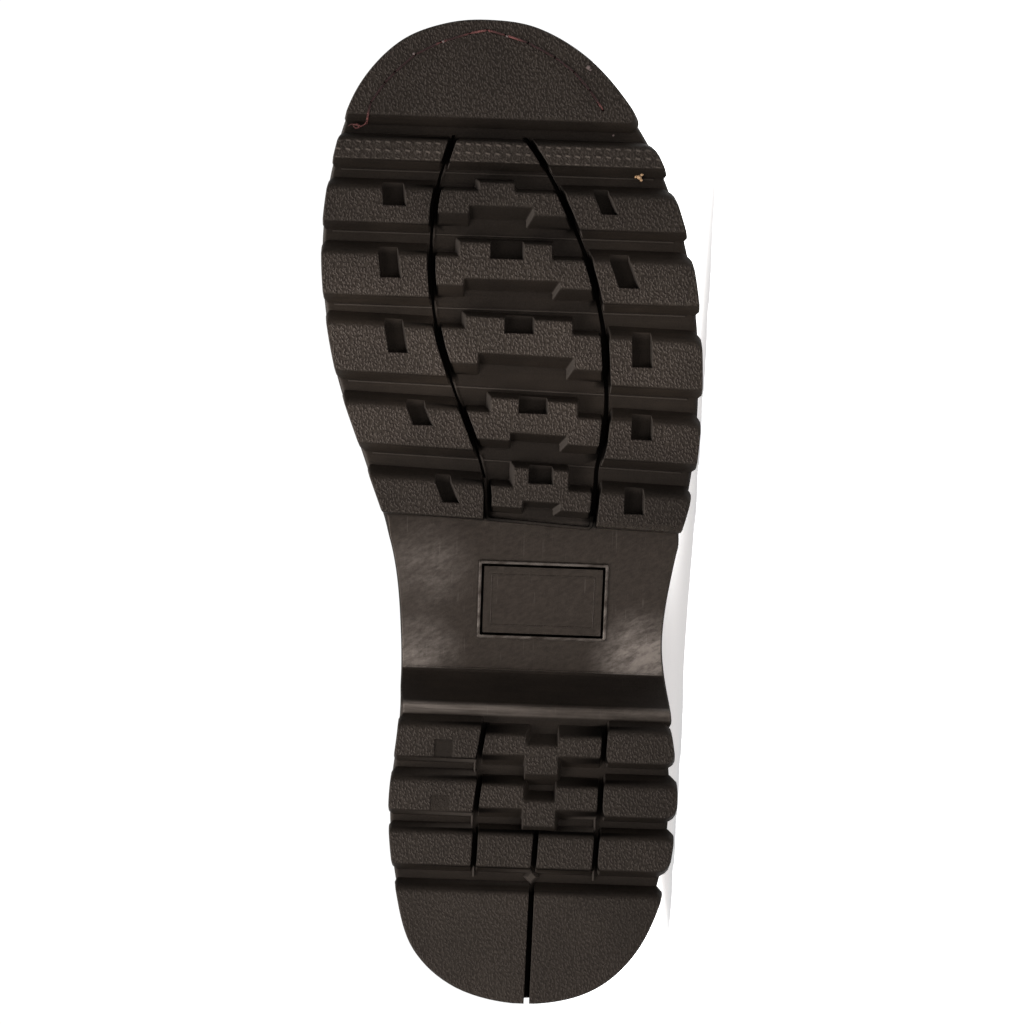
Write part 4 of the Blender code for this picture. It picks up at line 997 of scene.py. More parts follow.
def mark_outsole(item):
    """Marks for the shader: walking faces, the inside of slits, pockets, trenches and needle holes where
    shade is painted, the smooth underside, and crests of flash, mould lines and the label frame where
    highlights are painted.
    """
    mesh = item.data
    x, y, z = read_points(mesh).reshape(-1, 3).T
    height = z - tread_lift(x)
    over = z - ground(x, y)
    narrow = np.zeros(len(x), dtype=bool)
    for rows, walls in ((FOREFOOT_ROWS, channel.values()), (HEEL_ROWS, (heel_slit(0), heel_slit(2)))):
        for row in rows:
            for wall in walls:
                narrow |= in_row(row, x, y) & (np.abs(y - wall(x)) < SLIT_REACH)
    behind = (x < HEEL_BACK_TOE + 0.4) | in_row(HEEL_ROWS[-1], x, y)
    narrow |= behind & (np.abs(y - heel_slit(1)(x)) < BACK_SLIT_REACH)
    trench = within(x, y, LABEL)
    for side, start, aside, half in TRENCHES:
        near = np.abs(y - channel[side](x) - aside) < half + 0.3
        trench |= (x > start - 1.0) & (x < TRENCH_TOE + 1.0) & near
    hollow = np.zeros(len(x))
    for toe, heel, medial, lateral, slant, _ in POCKETS:
        across = y + slanted(x, toe, heel, slant)
        inside = (x > heel - 0.5) & (x < toe + 1.0) & (across > medial - 0.6) & (across < lateral + 0.3)
        hollow = np.maximum(hollow, 0.6 * inside * smooth_step(height, 1.5, 2.5))
    for hole_x, hole_y in TOE_STITCHES[1:]:
        inside = np.hypot(x - hole_x, y - hole_y) < 0.8
        hollow = np.maximum(hollow, inside * smooth_step(height, 0.1, 0.4))
    proud = smooth_step(-over, 0.05, 0.3)
    crossing = np.abs(x - HEEL_CROSSING[0]) + np.abs(y - HEEL_CROSSING[1]) < 3.2
    # Crests that get a painted highlight: the crossing's flash, the label frame, the heel's flash and the
    # mould lines
    crest_highlight = [0.5 * proud * crossing * (height > 2.5),
            0.9 * smooth_step(-over, 0.2, 0.4) * within(x, y, LABEL, 0.5)]
    for toe, heel, line in HEEL_FLASH:
        crest_highlight.append(proud * (np.abs(y - line) < 0.6) * (x > heel - 0.1) * (x < toe + 0.1))
    for row in FOREFOOT_ROWS[:-1]:
        near = np.abs(row_place(row, x, y) - mould_line(row)) < 0.5
        crest_highlight.append(0.4 * proud * near * (height > 4.0))
    # The slit mark is where shade is painted; the last mark is where highlights are painted on crests
    marks = {"lug": 1.0 - smooth_step(height, 0.05, 0.6),
             "slit": np.maximum.reduce((narrow * smooth_step(height, 0.35, 1.2), hollow,
                                        trench * smooth_step(over, 0.1, 0.5))),
             "under": 1.0 - smooth_step(over, 0.02, 0.25),
             "crest_highlight": np.maximum.reduce(crest_highlight)}
    for name, values in marks.items():
        mesh.attributes.new(name, "FLOAT", "POINT").data.foreach_set("value", values)
    return item


# Upper
front_x = table(FRONT)
back_x = table(BACK)
crest_y = table(FOOT, 1)
fullness = table(FOOT, 2)
shaft_half = {MEDIAL: table(SHAFT, 1), LATERAL: table(SHAFT, 2)}
shaft_widest = table(SHAFT, 3)
feather = lug_outline.inset(*FEATHER)


def crest_line():
    """Height of the foot's crest at x: the front line read sideways, then the arch behind it."""
    z = np.linspace(FRONT[0][0], CREST_TOP, 400)
    xs = np.concatenate((front_x(z), [row[0] for row in ARCH_BEHIND]))[::-1]
    zs = np.concatenate((z, [row[1] for row in ARCH_BEHIND]))[::-1]
    return lambda place: np.interp(place, xs, zs)


crest_z = crest_line()


def ring_z(x, height, swing):
    """Height of a ring at x. Low rings follow the sole, the top ones dip at front and back."""
    base = feather_height(x)
    share = (height - FEATHER_RING) / (LEVEL_RING - FEATHER_RING)
    dip = COLLAR_DIP * smooth_step(height, COLLAR_DIP_START, COLLAR_HEIGHT)
    return np.where(height < LEVEL_RING, base + share * (LEVEL_RING - base), height - dip * swing ** 4)


def ring_end(profile, start, height):
    """Front or back end of rings, where they meet the side view."""
    x = np.full(np.shape(height), start)
    for _ in range(12):
        x = profile(ring_z(x, height, 0.0))
    return np.where(height <= FEATHER_RING, start, x)


def ring_points(height, angles, swell=0.0):
    """Points of the upper's outside. Angle 0 is the front, pi the back, positive the outer side."""
    height, angles, swell = np.broadcast_arrays(np.asarray(height, float), angles, swell)
    front = ring_end(front_x, feather.end, height) + swell
    back = ring_end(back_x, feather.start, height) - swell
    swing = np.cos(angles)
    s = 0.5 * (1.0 + swing)
    x = back + s * (front - back)
    z = ring_z(x, height, swing)
    blend = smooth_step(z, BLEND_LOW, BLEND_HIGH)
    shift = (feather.start - back) * (1.0 - smooth_step(s, 0.0, HEEL_REACH))
    base = feather_height(x)
    top = np.maximum(crest_z(x), base + 1.0)
    tau = np.clip((z - base) / (top - base), 0.0, 1.0)
    power = fullness(x)
    arch = (1.0 - tau ** power) ** (1.0 / power)
    skew = s ** (math.log(0.5) / np.log(shaft_widest(z)))
    oval = np.sqrt(np.maximum(1.0 - np.abs(2.0 * skew - 1.0) ** OVAL_POWER, 0.0))
    y = np.zeros(np.shape(x))
    for side in (MEDIAL, LATERAL):
        foot = crest_y(x) + (feather.y(side, x + shift) - crest_y(x)) * arch
        leg = crest_y(x) * (1.0 - smooth_step(z, BLEND_HIGH, COLLAR_DIP_START))
        leg = leg + side * (shaft_half[side](z) + swell) * oval
        y = np.where(np.sin(angles) * side >= 0.0, foot * (1.0 - blend) + leg * blend, y)
    return np.stack((x, y, z), axis=-1)


def outward(height, angles):
    """Outward direction of the upper's outside."""
    height = np.asarray(height, dtype=float)
    along = ring_points(height, angles + 0.02) - ring_points(height, angles - 0.02)
    up = ring_points(height + 0.4, angles) - ring_points(np.maximum(height - 0.4, FEATHER_RING), angles)
    normal = np.cross(along, up)
    return normal / np.linalg.norm(normal, axis=-1)[..., None]


def crease_lines():
    """Each crease as points along it, with how deep it is there, and its width."""
    lines = []
    t = np.linspace(0.0, 1.0, 34)
    for start, z_start, xm, zm, xl, zl, depth, width in CREASES:
        points = []
        for side, x_end, z_end in ((MEDIAL, xm, zm), (LATERAL, xl, zl)):
            profile = front_x if start == "front" else back_x
            x = profile(z_start) + (x_end - profile(z_start)) * t
            z = z_start + (z_end - z_start) * t ** 1.3
            base = feather_height(x)
            low = FEATHER_RING + (z - base) / (LEVEL_RING - base) * (LEVEL_RING - FEATHER_RING)
            height = np.where(z < LEVEL_RING, low, z)
            front = ring_end(front_x, feather.end, height)
            back = ring_end(back_x, feather.start, height)
            angle = side * np.arccos(np.clip(2.0 * (x - back) / (front - back) - 1.0, -1.0, 1.0))
            points.append(ring_points(height, angle))
        deep = depth * (1.0 - t ** 2) ** 0.8 * (1.0 + 0.25 * np.sin(9.0 * t + z_start))
        line = np.vstack((points[0][::-1], points[1][1:]))
        lines.append((line, np.concatenate((deep[::-1], deep[1:])), width))
    return lines


crease_rows = crease_lines()


def crease_step(points):
    """Outward step of the leather: a soft trough along each crease and a ridge on both sides."""
    flat = points.reshape(-1, 3)
    step = np.zeros(len(flat))
    for line, deep, width in crease_rows:
        away = np.linalg.norm(flat[:, None, :] - line[None, :, :], axis=2)
        near = np.argmin(away, axis=1)
        d = away[np.arange(len(flat)), near] / width
        step += deep[near] * (0.5 * np.exp(-((d - 2.0) / 0.8) ** 2) - np.exp(-d ** 2))
    return step.reshape(points.shape[:-1])


def skin(height, angles, lift=0.0, swell=0.0):
    """Creased outside of the upper, lifted off along its outward direction."""
    points = ring_points(height, angles, swell)
    return points + outward(height, angles) * (crease_step(points) + lift)[..., None]


def make_upper():
    """Hollow leather form with the step of its collar, a rounded rim and its lining."""
    angles = np.linspace(0.0, 2.0 * math.pi, 216, endpoint=False)
    band = COLLAR_HEIGHT - COLLAR_BAND
    heights = np.concatenate((
        np.linspace(FEATHER_RING, 70.0, 44), np.linspace(71.0, band - 0.6, 84),
        (band, band + 0.25, band + 0.7, band + 1.1), np.linspace(band + 3.0, COLLAR_HEIGHT, 6)))
    swell = COLLAR_STEP * smooth_step(heights, band - 0.1, band + 1.1)
    grid_h, grid_a = np.meshgrid(heights, angles, indexing="ij")
    grid_s = np.repeat(swell[:, None], len(angles), axis=1)
    outer = skin(grid_h, grid_a, 0.0, grid_s)
    normal = outward(grid_h, grid_a)
    inner = outer - normal * (WALL + grid_s)[..., None]
    rim = []
    thick = WALL + COLLAR_STEP
    for turn in np.linspace(0.15, 0.85, 5) * math.pi:
        row = outer[-1] - normal[-1] * (0.5 * thick * (1.0 - math.cos(turn)))
        rim.append(row + np.array((0.0, 0.0, RIM_RISE * math.sin(turn) - RIM_RISE)))
    for wall in (outer, inner):
        wall[-1] = wall[-1] - np.array((0.0, 0.0, RIM_DROP))
    rows = list(outer) + rim + list(inner[::-1])
    sides = [0] * (len(outer) + len(rim) - 1) + [1] * len(inner) + [0]
    bm = bmesh.new()
    add_rows(bm, rows, close_rows=True, close_columns=True, material=sides)
    return new_item("boot_upper", bm)


def make_overlay(name, centre, rows, count):
    """Leather panel over the upper, from the welt to a rounded upper edge."""
    reach = math.radians(rows[-1][0])
    inside = np.linspace(-reach + PANEL_EDGE, reach - PANEL_EDGE, count)
    turn = np.concatenate(([-reach, -reach + 0.3 * PANEL_EDGE], inside, [reach - 0.3 * PANEL_EDGE, reach]))
    angles = centre + turn
    limits = table(rows)(np.degrees(np.abs(turn)))
    ends = np.minimum(np.abs(turn - turn[0]), np.abs(turn[-1] - turn)) / PANEL_EDGE
    full = OVERLAY * (0.35 + 0.65 * np.sqrt(1.0 - (1.0 - np.clip(ends, 0.0, 1.0)) ** 2))
    foot = FEATHER_RING + OVERLAY_FOOT
    edge = limits - OVERLAY_ROUND
    flat = [foot + (edge - foot) * part for part in np.linspace(0.0, 1.0, 46)]
    outer = [skin(height, angles, OVERLAY_GAP + full) for height in flat]
    outer += [skin(edge + rise, angles, OVERLAY_GAP + full * thick) for rise, thick in OVERLAY_EDGE]
    inner = [skin(height, angles, OVERLAY_GAP) for height in flat + [limits]]
    bm = bmesh.new()
    grid = add_rows(bm, outer + inner[::-1], close_rows=True)
    for end in (0, -1):
        column = [row[end] for row in grid]
        front = column[:len(outer)]
        back = column[len(outer):][::-1]
        back += back[-1:] * (len(front) - len(back))
        for i in range(len(front) - 1):
            add_face(bm, (front[i], front[i + 1], back[i + 1], back[i]))
    return new_item(name, bm)


def make_welt():
    """Leather strip between sole and upper, with a stitch channel on its top."""
    rings = []
    for inset, rise in WELT_PROFILE:
        plan = lug_outline.inset(*[width + inset for width in WELT]).once_round(150)[:-1]
        rings.append(np.column_stack((plan, sole_top(plan[:, 0]) + GAP + rise)))
    bm = bmesh.new()
    add_rows(bm, rings, close_rows=True, close_columns=True)
    return new_item("boot_welt", bm)


def loop_path():
    """Side view of a pull loop: distance in from the wall, height."""
    half = 0.5 * LOOP_THICKNESS
    near = GAP + half
    far = near + LOOP_THICKNESS + GAP
    top = COLLAR_HEIGHT + LOOP_RISE
    turn = np.linspace(-0.8, math.pi + 0.8, 26)
    path = [(near, z) for z in np.linspace(COLLAR_HEIGHT - LOOP_LEG, COLLAR_HEIGHT, 10)]
    path += [(0.5 * (near + far) - LOOP_RADIUS * math.cos(a), top + LOOP_RADIUS * math.sin(a)) for a in turn]
    path += [(far, z) for z in np.linspace(COLLAR_HEIGHT, COLLAR_HEIGHT - LOOP_LEG, 10)]
    return np.array(path)


def loop_points(side, share, inward, z):
    """Place on a pull loop from its share of the width, depth and height."""
    reach = 0.5 * LOOP_WIDTH / LOOP_AWAY
    angle = np.full(np.shape(z), side * 0.5 * math.pi + share * reach)
    low = np.minimum(z, COLLAR_HEIGHT - 1.0)
    point = ring_points(low, angle) - outward(low, angle) * (WALL + inward)[..., None]
    point[..., 2] = z
    return point


def make_pull_loop(name, side):
    """Folded strap inside the collar."""
    path = loop_path()
    along = np.gradient(path, axis=0)
    along = along / np.linalg.norm(along, axis=1)[:, None]
    sideways = np.column_stack((along[:, 1], -along[:, 0]))
    rows = []
    for share, face in LOOP_SECTION:
        edge = path + sideways * 0.5 * LOOP_THICKNESS * face
        rows.append(loop_points(side, share, edge[:, 0], edge[:, 1]))
    bm = bmesh.new()
    grid = add_rows(bm, rows, close_rows=True)
    for end in (0, -1):
        add_face(bm, [row[end] for row in grid])
    return new_item(name, bm)


# Thread and crumbs
def thread_ring(centre, across, out, radius, sides):
    """Points round a thread."""
    return [centre + (across * math.cos(a) + out * math.sin(a)) * radius
            for a in np.arange(sides) * 2.0 * math.pi / sides]


def add_stitches(bm, line, normals, pitch, length, radius):
    """Row of stitches along a line on a surface."""
    line = np.asarray(line)
    gone = np.concatenate(([0.0], np.cumsum(np.linalg.norm(np.diff(line, axis=0), axis=1))))
    count = max(int(gone[-1] / pitch), 1)
    places = (np.arange(count) + 0.5) * gone[-1] / count

    def read(rows, move):
        return np.array([np.interp(places + move, gone, rows[:, k]) for k in range(3)]).T

    for behind, here, ahead, up in zip(*[read(line, move) for move in (-0.6, 0.0, 0.6)], read(normals, 0.0)):
        along = Vector(ahead - behind).normalized()
        across = along.cross(Vector(up).normalized()).normalized()
        out = across.cross(along)
        add_loft(bm, [thread_ring(Vector(here) + along * (place * length) + out * (dip * radius),
                                  across, out, thick * radius, 6) for place, dip, thick in STITCH])


def add_tube(bm, line, radius):
    """Thread along a line, closed at its ends."""
    line = [Vector(p) for p in line]
    rings = []
    for i, point in enumerate(line):
        along = (line[min(i + 1, len(line) - 1)] - line[max(i - 1, 0)]).normalized()
        across = along.cross(Vector((0.0, 0.0, 1.0))).normalized()
        thick = radius if 0 < i < len(line) - 1 else 0.4 * radius
        rings.append(thread_ring(point, across, across.cross(along), thick, 8))
    add_loft(bm, rings)


def make_seams():
    """Stitches along the edges of the overlays, round the collar and on the welt."""
    bm = bmesh.new()
    for centre, rows in ((0.0, VAMP_EDGE), (math.pi, COUNTER_EDGE)):
        reach = math.radians(rows[-1][0]) - PANEL_SEAM_END
        turn = np.linspace(-reach, reach, 260)
        for down in PANEL_SEAMS_DOWN:
            height = table(rows)(np.degrees(np.abs(turn))) - down
            line = skin(height, centre + turn, OVERLAY_GAP + OVERLAY + PANEL_SEAM_LIFT)
            add_stitches(bm, line, outward(height, centre + turn), *PANEL_SEAM)
    turn = np.linspace(-math.pi, math.pi, 400)
    level = COLLAR_HEIGHT - COLLAR_BAND + COLLAR_SEAM_RISE
    line = skin(level, turn, COLLAR_SEAM_LIFT, COLLAR_STEP)
    add_stitches(bm, line, outward(level, turn), *COLLAR_SEAM)
    plan = lug_outline.inset(*[width + WELT_SEAM_INSET for width in WELT]).once_round(220)
    line = np.column_stack((plan, sole_top(plan[:, 0]) + GAP + WELT_SEAM_HEIGHT))
    add_stitches(bm, line, np.tile((0.0, 0.0, 1.0), (len(line), 1)), *WELT_SEAM)
    return new_item("boot_seam_stitches", bm, FINE_MERGE)


def toe_surface(x):
    """Height of the toe bumper's walking face or of its heel slope."""
    return float(tread_lift(x)) + BUMPER_FALL * max(BUMPER_HEEL - x, 0.0)


def make_toe_stitching():
    """Lockstitch from hole to hole round the toe, and its loose end."""
    bm = bmesh.new()
    for (xa, ya), (xb, yb) in zip(TOE_STITCHES[:-1], TOE_STITCHES[1:]):
        line = []
        for t in np.linspace(0.0, 1.0, 9):
            x = xa + (xb - xa) * t
            sag = THREAD_DIP - math.sin(math.pi * t) ** 0.5
            line.append((x, ya + (yb - ya) * t, toe_surface(x) + THREAD_SWING * sag))
        add_tube(bm, line, TOE_THREAD)
    tail = [(x, y, min(toe_surface(x), float(tread_lift(x)) + TAIL_DEPTH) - over)
            for x, y, over in TOE_TAIL]
    add_tube(bm, tail, TAIL_THREAD)
    return new_item("boot_toe_stitching", bm)


def make_crumbs():
    """Rough grains that stick to the tread."""
    bm = bmesh.new()
    for number, (x, y, height, size, colour) in enumerate(CRUMBS):
        made = bmesh.ops.create_icosphere(bm, subdivisions=2, radius=0.5 * size)
        for vert in made["verts"]:
            n = vert.co.normalized()
            rough = 1.0 + 0.28 * math.sin(5.0 * n.x + number) * math.sin(6.0 * n.y + 2.0 * number)
            vert.co = vert.co * rough + Vector((x, y, height + float(tread_lift(x))))
        for face in {f for v in made["verts"] for f in v.link_faces}:
            face.material_index = colour
    return new_item("boot_tread_crumbs", bm, FINE_MERGE)


# Materials
class Graph:
    """Shader tree; its methods add nodes and return the results."""

    def __init__(self, tree):
        self.tree = tree

    def node(self, kind, inputs=(), **settings):
        made = self.tree.nodes.new("ShaderNode" + kind)
        for name, value in settings.items():
            setattr(made, name, value)
        for key, value in dict(inputs).items():
            if isinstance(value, bpy.types.NodeSocket):
                self.tree.links.new(value, made.inputs[key])
            else:
                made.inputs[key].default_value = value
        return made

    def calc(self, operation, a, b=0.0):
        return self.node("Math", {0: a, 1: b}, operation=operation).outputs[0]

    def add(self, value, *others):
        for other in others:
            value = self.calc("ADD", value, other)
        return value

    def mul(self, value, *others):
        for other in others:
            value = self.calc("MULTIPLY", value, other)
        return value

    def vector(self, operation, a, b):
        return self.node("VectorMath", {0: a, 1: b}, operation=operation).outputs[0]

    def turned(self, vector, angle):
        return self.node("VectorRotate", {"Vector": vector, "Angle": angle},
                         rotation_type="Z_AXIS").outputs[0]

    def parts(self, vector):
        return self.node("SeparateXYZ", {0: vector}).outputs

    def ramp(self, value, low, high, start=0.0, end=1.0):
        return self.node("MapRange", {0: value, 1: low, 2: high, 3: start, 4: end},
                         interpolation_type="SMOOTHSTEP").outputs[0]

    def band(self, value, span):
        """1 inside a soft span and 0 outside it."""
        return self.mul(self.ramp(value, span[0], span[1]), self.ramp(value, span[3], span[2]))

    def mix(self, share, a, b):
        return self.node("Mix", {0: share, 2: a, 3: b}, data_type="FLOAT").outputs[0]

    def blend(self, share, a, b, mode="MIX"):
        return self.node("Mix", {0: share, 6: a, 7: b}, data_type="RGBA", blend_type=mode).outputs[2]

    def shaded(self, colour, tone):
        """Colour times a tone."""
        shade = self.node("CombineColor", {0: tone, 1: tone, 2: tone}).outputs[0]
        return self.blend(1.0, colour, shade, "MULTIPLY")


class Look(Graph):
    """Material with patterns that lie in the boot's own millimetres."""

    def __init__(self, name, **values):
        self.material = bpy.data.materials.new(name)
        self.material.use_nodes = True
        super().__init__(self.material.node_tree)
        self.shader = self.tree.nodes["Principled BSDF"]
        for key, value in values.items():
            self.shader.inputs[key.replace("_", " ")].default_value = value
        self.place = self.mark("place", "Vector")

    def mark(self, name, output="Fac"):
        """Value kept with the points of the mesh."""
        return self.node("Attribute", attribute_name=name).outputs[output]

    def feed(self, **sockets):
        """Link results to inputs of the shader."""
        for key, socket in sockets.items():
            self.tree.links.new(socket, self.shader.inputs[key.replace("_", " ")])

    def bump(self, height, depth):
        """Relief with its depth in millimetres."""
        made = self.node("Bump", {"Height": height, "Distance": depth * MM, "Strength": 1.0})
        self.feed(Normal=made.outputs[0])

    def noise(self, scale, detail=3.0, rough=0.5, place=None):
        place = self.place if place is None else place
        inputs = {"Vector": place, "Scale": scale, "Detail": detail, "Roughness": rough}
        return self.node("TexNoise", inputs).outputs["Fac"]

    def streaks(self, stretch, detail, rough=0.5, place=None):
        """Noise drawn out by a scale of its own along each axis."""
        place = self.place if place is None else place
        return self.noise(1.0, detail, rough, self.vector("MULTIPLY", place, stretch))

    def spot(self, centre, reach):
        """Soft round patch about a place on the sole."""
        off = self.vector("SUBTRACT", self.place, (*centre, 0.0))
        flat = self.vector("MULTIPLY", off, (1.0, 1.0, 0.0))
        away = self.node("VectorMath", {0: flat}, operation="LENGTH").outputs["Value"]
        return self.ramp(away, reach, 0.0)

    def strokes(self, place, pitch, loose, turn, spread, half_length, half_width):
        """Short moulded strokes, one in each cell of a pattern with the given pitch along x and y."""
        scaled = self.vector("MULTIPLY", place, (1.0 / pitch[0], 1.0 / pitch[1], 1.0))
        cell = self.node("TexVoronoi", {"Vector": scaled, "Scale": 1.0, "Randomness": loose},
                         voronoi_dimensions="2D")
        off = self.vector("SUBTRACT", scaled, cell.outputs["Position"])
        off = self.vector("MULTIPLY", off, (*pitch, 1.0))
        chance = self.node("SeparateColor", {0: cell.outputs["Color"]}).outputs[0]
        along, aside, _ = self.parts(self.turned(off, self.add(self.mul(chance, spread), turn)))
        bend = self.mul(self.calc("SINE", self.mul(along, 3.2)), 0.12)
        aside = self.calc("ABSOLUTE", self.add(aside, bend))
        along = self.calc("ABSOLUTE", along)
        return self.mul(self.ramp(aside, half_width, 0.3 * half_width),
                        self.ramp(along, half_length, 0.6 * half_length))


def grey(value, warm=0.0):
    """Grey with a share of brown in it."""
    return (value, value * (1.0 - 0.13 * warm), value * (1.0 - 0.22 * warm), 1.0)


def make_rubber():
    """Black rubber: grained walking faces with painted light and shade, dusty floors, satin waist and lip
    with painted sheen, slits and hollows painted dark as shade.
    """
    m = Look("moulded_rubber", IOR=1.5, Specular_Tint=(1.0, 0.84, 0.74, 1.0))
    lug, slit, under, crest_highlight = [m.mark(name) for name in ("lug", "slit", "under", "crest_highlight")]
    x, y, _ = m.parts(m.place)
    fine = m.noise(2.2, 4.0, 0.6)
    pits = m.noise(1.1, 2.0)
    broad = m.noise(0.045)
    run = m.streaks((1.3, 0.06, 0.9), 4.0, 0.6)

    # Walking faces: strokes painted light as the lit tops of the raised grain, an offset copy painted dark
    # as their shade, rice grains on the first row
    rice_row = m.band(x, RICE_SPAN)
    crisp = m.mul(lug, m.ramp(x, 32.0, 38.0, 0.6, 1.0))
    sides = []
    for place in (m.place, m.vector("SUBTRACT", m.place, LEEWARD)):
        grain = m.strokes(place, *GRAIN)
        rice = m.calc("MAXIMUM", m.strokes(place, *RICE), m.mul(grain, 0.35))
        sides.append(m.mul(m.mix(rice_row, grain, rice), crisp))
    stroke, shade = sides
    m.bump(m.add(stroke, m.mul(fine, 0.2)), 0.32)
    face = m.blend(m.ramp(pits, 0.35, 0.65), grey(0.0085, 1.9), grey(0.0175, 1.7))
    # Painted shade: the offset copy of the strokes darkens the face beside each stroke, away from the light
    face = m.blend(m.mul(shade, 0.75), face, grey(0.003, 2.0))
    # Painted highlight: the strokes are coloured lighter, the rice grains of the first row most
    face = m.blend(stroke, face, m.blend(rice_row, grey(0.042, 1.5), grey(0.06, 1.5)))

    # Floors of the grooves, darker between the channels, with flash whose crests carry a painted highlight
    cloud = m.add(m.mul(m.ramp(broad, 0.35, 0.65), 0.4), m.mul(m.ramp(run, 0.35, 0.7), 0.6))
    floor = m.blend(cloud, grey(0.0048, 2.2), grey(0.0092, 2.2))
    inner = m.mul(m.band(y, INNER_SPAN), m.ramp(x, 148.0, 156.0))
    floor = m.blend(m.mul(inner, 0.55), floor, grey(0.002, 2.6))
    # Painted highlight: crests of flash, mould lines and the label frame coloured pale, as where light
    # catches them
    floor = m.blend(crest_highlight, floor, grey(0.04, 1.4))

    # Painted shade along the sole, darker at the toe, behind the ball and towards the outer side, over broad
    # random tone; painted light on walls that face up
    tone_and_shade = m.mul(m.ramp(x, 205.0, 252.0, 1.0, 0.55), m.ramp(x, 146.0, 192.0, 0.52, 1.0),
                 m.ramp(y, 0.0, 45.0, 1.0, 0.86), m.ramp(broad, 0.3, 0.7, 0.86, 1.12))
    colour = m.shaded(m.blend(lug, floor, face), tone_and_shade)
    # Painted light from above: walls that face up are coloured lighter, less towards the heel and not at all
    # across the lip and waist
    facing = m.parts(m.node("NewGeometry").outputs["Normal"])[2]
    painted_top_light = m.mul(m.ramp(facing, 0.35, 0.8, 0.0, 0.6), m.ramp(x, 100.0, 170.0, 0.6, 1.0),
                    m.calc("SUBTRACT", 1.0, m.band(x, NO_TOP_LIGHT_SPAN)))
    colour = m.blend(painted_top_light, colour, grey(0.034, 1.3))

    # Satin waist and lip, scratched, with painted sheen in patches and along the lip
    lip = m.band(x, LIP_LOOK)
    smooth = m.mul(m.calc("MAXIMUM", m.band(x, WAIST_LOOK), lip), under)
    spun = m.turned(m.place, 0.5)
    brushed = m.streaks((0.3, 0.1, 0.3), 5.0, 0.62, spun)
    scratch = m.streaks((1.0, 0.45, 0.5), 6.0, 0.72, spun)
    hair = m.streaks((0.06, 1.4, 0.3), 2.0)
    # Painted sheen: lighter colour where the lamps reflect on the satin, broken up by brushing and
    # scratches, with hair-thin streaks
    painted_sheen = m.add(*[m.mul(m.spot(centre, reach), strength) for centre, reach, strength in SHEEN_SPOTS])
    painted_sheen = m.mul(painted_sheen, m.ramp(brushed, 0.34, 0.66, 0.4, 1.2), m.ramp(scratch, 0.3, 0.7, 0.65, 1.35))
    # Painted highlight along the lip, strongest at its medial end
    lip_sheen = m.mul(m.ramp(y, -40.0, 12.0, 0.6, 0.2), m.ramp(run, 0.35, 0.65, 0.5, 1.1))
    painted_sheen = m.add(painted_sheen, m.mul(lip, lip_sheen), m.mul(m.ramp(hair, 0.66, 0.74), 0.12),
                   m.mul(crest_highlight, m.ramp(brushed, 0.35, 0.65, 0.0, 0.6)))
    satin = m.blend(m.ramp(scratch, 0.3, 0.7), grey(0.0055, 1.9), grey(0.0115, 1.8))
    colour = m.blend(smooth, colour, m.blend(painted_sheen, satin, grey(0.055, 1.2)))

    # Specks of dust at the medial side of the forefoot
    speck = m.node("TexVoronoi", {"Vector": m.place, "Scale": 0.13}, feature="F1")
    rare = m.ramp(m.node("SeparateColor", {0: speck.outputs["Color"]}).outputs[1], 0.62, 0.64)
    dust = m.mul(rare, m.ramp(speck.outputs["Distance"], 0.03, 0.018),
                 m.mul(m.ramp(x, 150.0, 152.0), m.ramp(y, -26.0, -32.0)))
    colour = m.blend(dust, colour, (0.15, 0.13, 0.12, 1.0))
    # Painted shade: slits, pockets, trenches, the label's groove and needle holes coloured near black
    colour = m.blend(m.mul(slit, 0.92), colour, grey(0.001, 1.0))

    dull = m.add(m.mul(fine, 0.14), 0.58)
    shine = m.ramp(brushed, 0.3, 0.7, 0.44, 0.32)
    matt = m.mul(m.ramp(fine, 0.3, 0.7, 0.07, 0.12), m.ramp(slit, 0.0, 1.0, 1.0, 0.1))
    gloss = m.add(m.mul(painted_sheen, 0.22), 0.1)
    m.feed(Base_Color=colour, Roughness=m.mix(smooth, dull, shine),
           Specular_IOR_Level=m.mix(smooth, matt, gloss))
    return m.material


def make_leather(name, dark, light, grain, depth):
    """Oiled leather with a pebbled grain."""
    m = Look(name, IOR=1.46, Specular_IOR_Level=0.3, Coat_Weight=0.06, Coat_Roughness=0.34)
    cells = m.node("TexVoronoi", {"Vector": m.place, "Scale": grain}, feature="DISTANCE_TO_EDGE")
    pebble = m.ramp(cells.outputs["Distance"], 0.0, 0.22)
    fine = m.noise(3.4 * grain, 3.0, 0.6)
    broad = m.noise(0.03, 4.0, 0.58)
    m.bump(m.add(m.mul(pebble, 0.75), m.mul(fine, 0.35)), depth)
    colour = m.blend(m.ramp(broad, 0.25, 0.8), dark, light)
    m.feed(Base_Color=m.shaded(colour, m.add(m.mul(pebble, 0.26), 0.74)),
           Roughness=m.add(m.mul(broad, 0.3), 0.32))
    return m.material


def make_matt(name, dark, light, grain, depth, rough, shades=None, **values):
    """Fibrous or crumbly stuff; its shades follow broad noise where that is given, or else the grain."""
    m = Look(name, **values)
    fine = share = m.noise(*grain)
    m.bump(fine, depth)
    if shades:
        scale, low, high = shades
        share = m.ramp(m.noise(scale), low, high)
    m.feed(Base_Color=m.blend(share, dark, light), Roughness=m.ramp(fine, 0.3, 0.7, *rough))
    return m.material


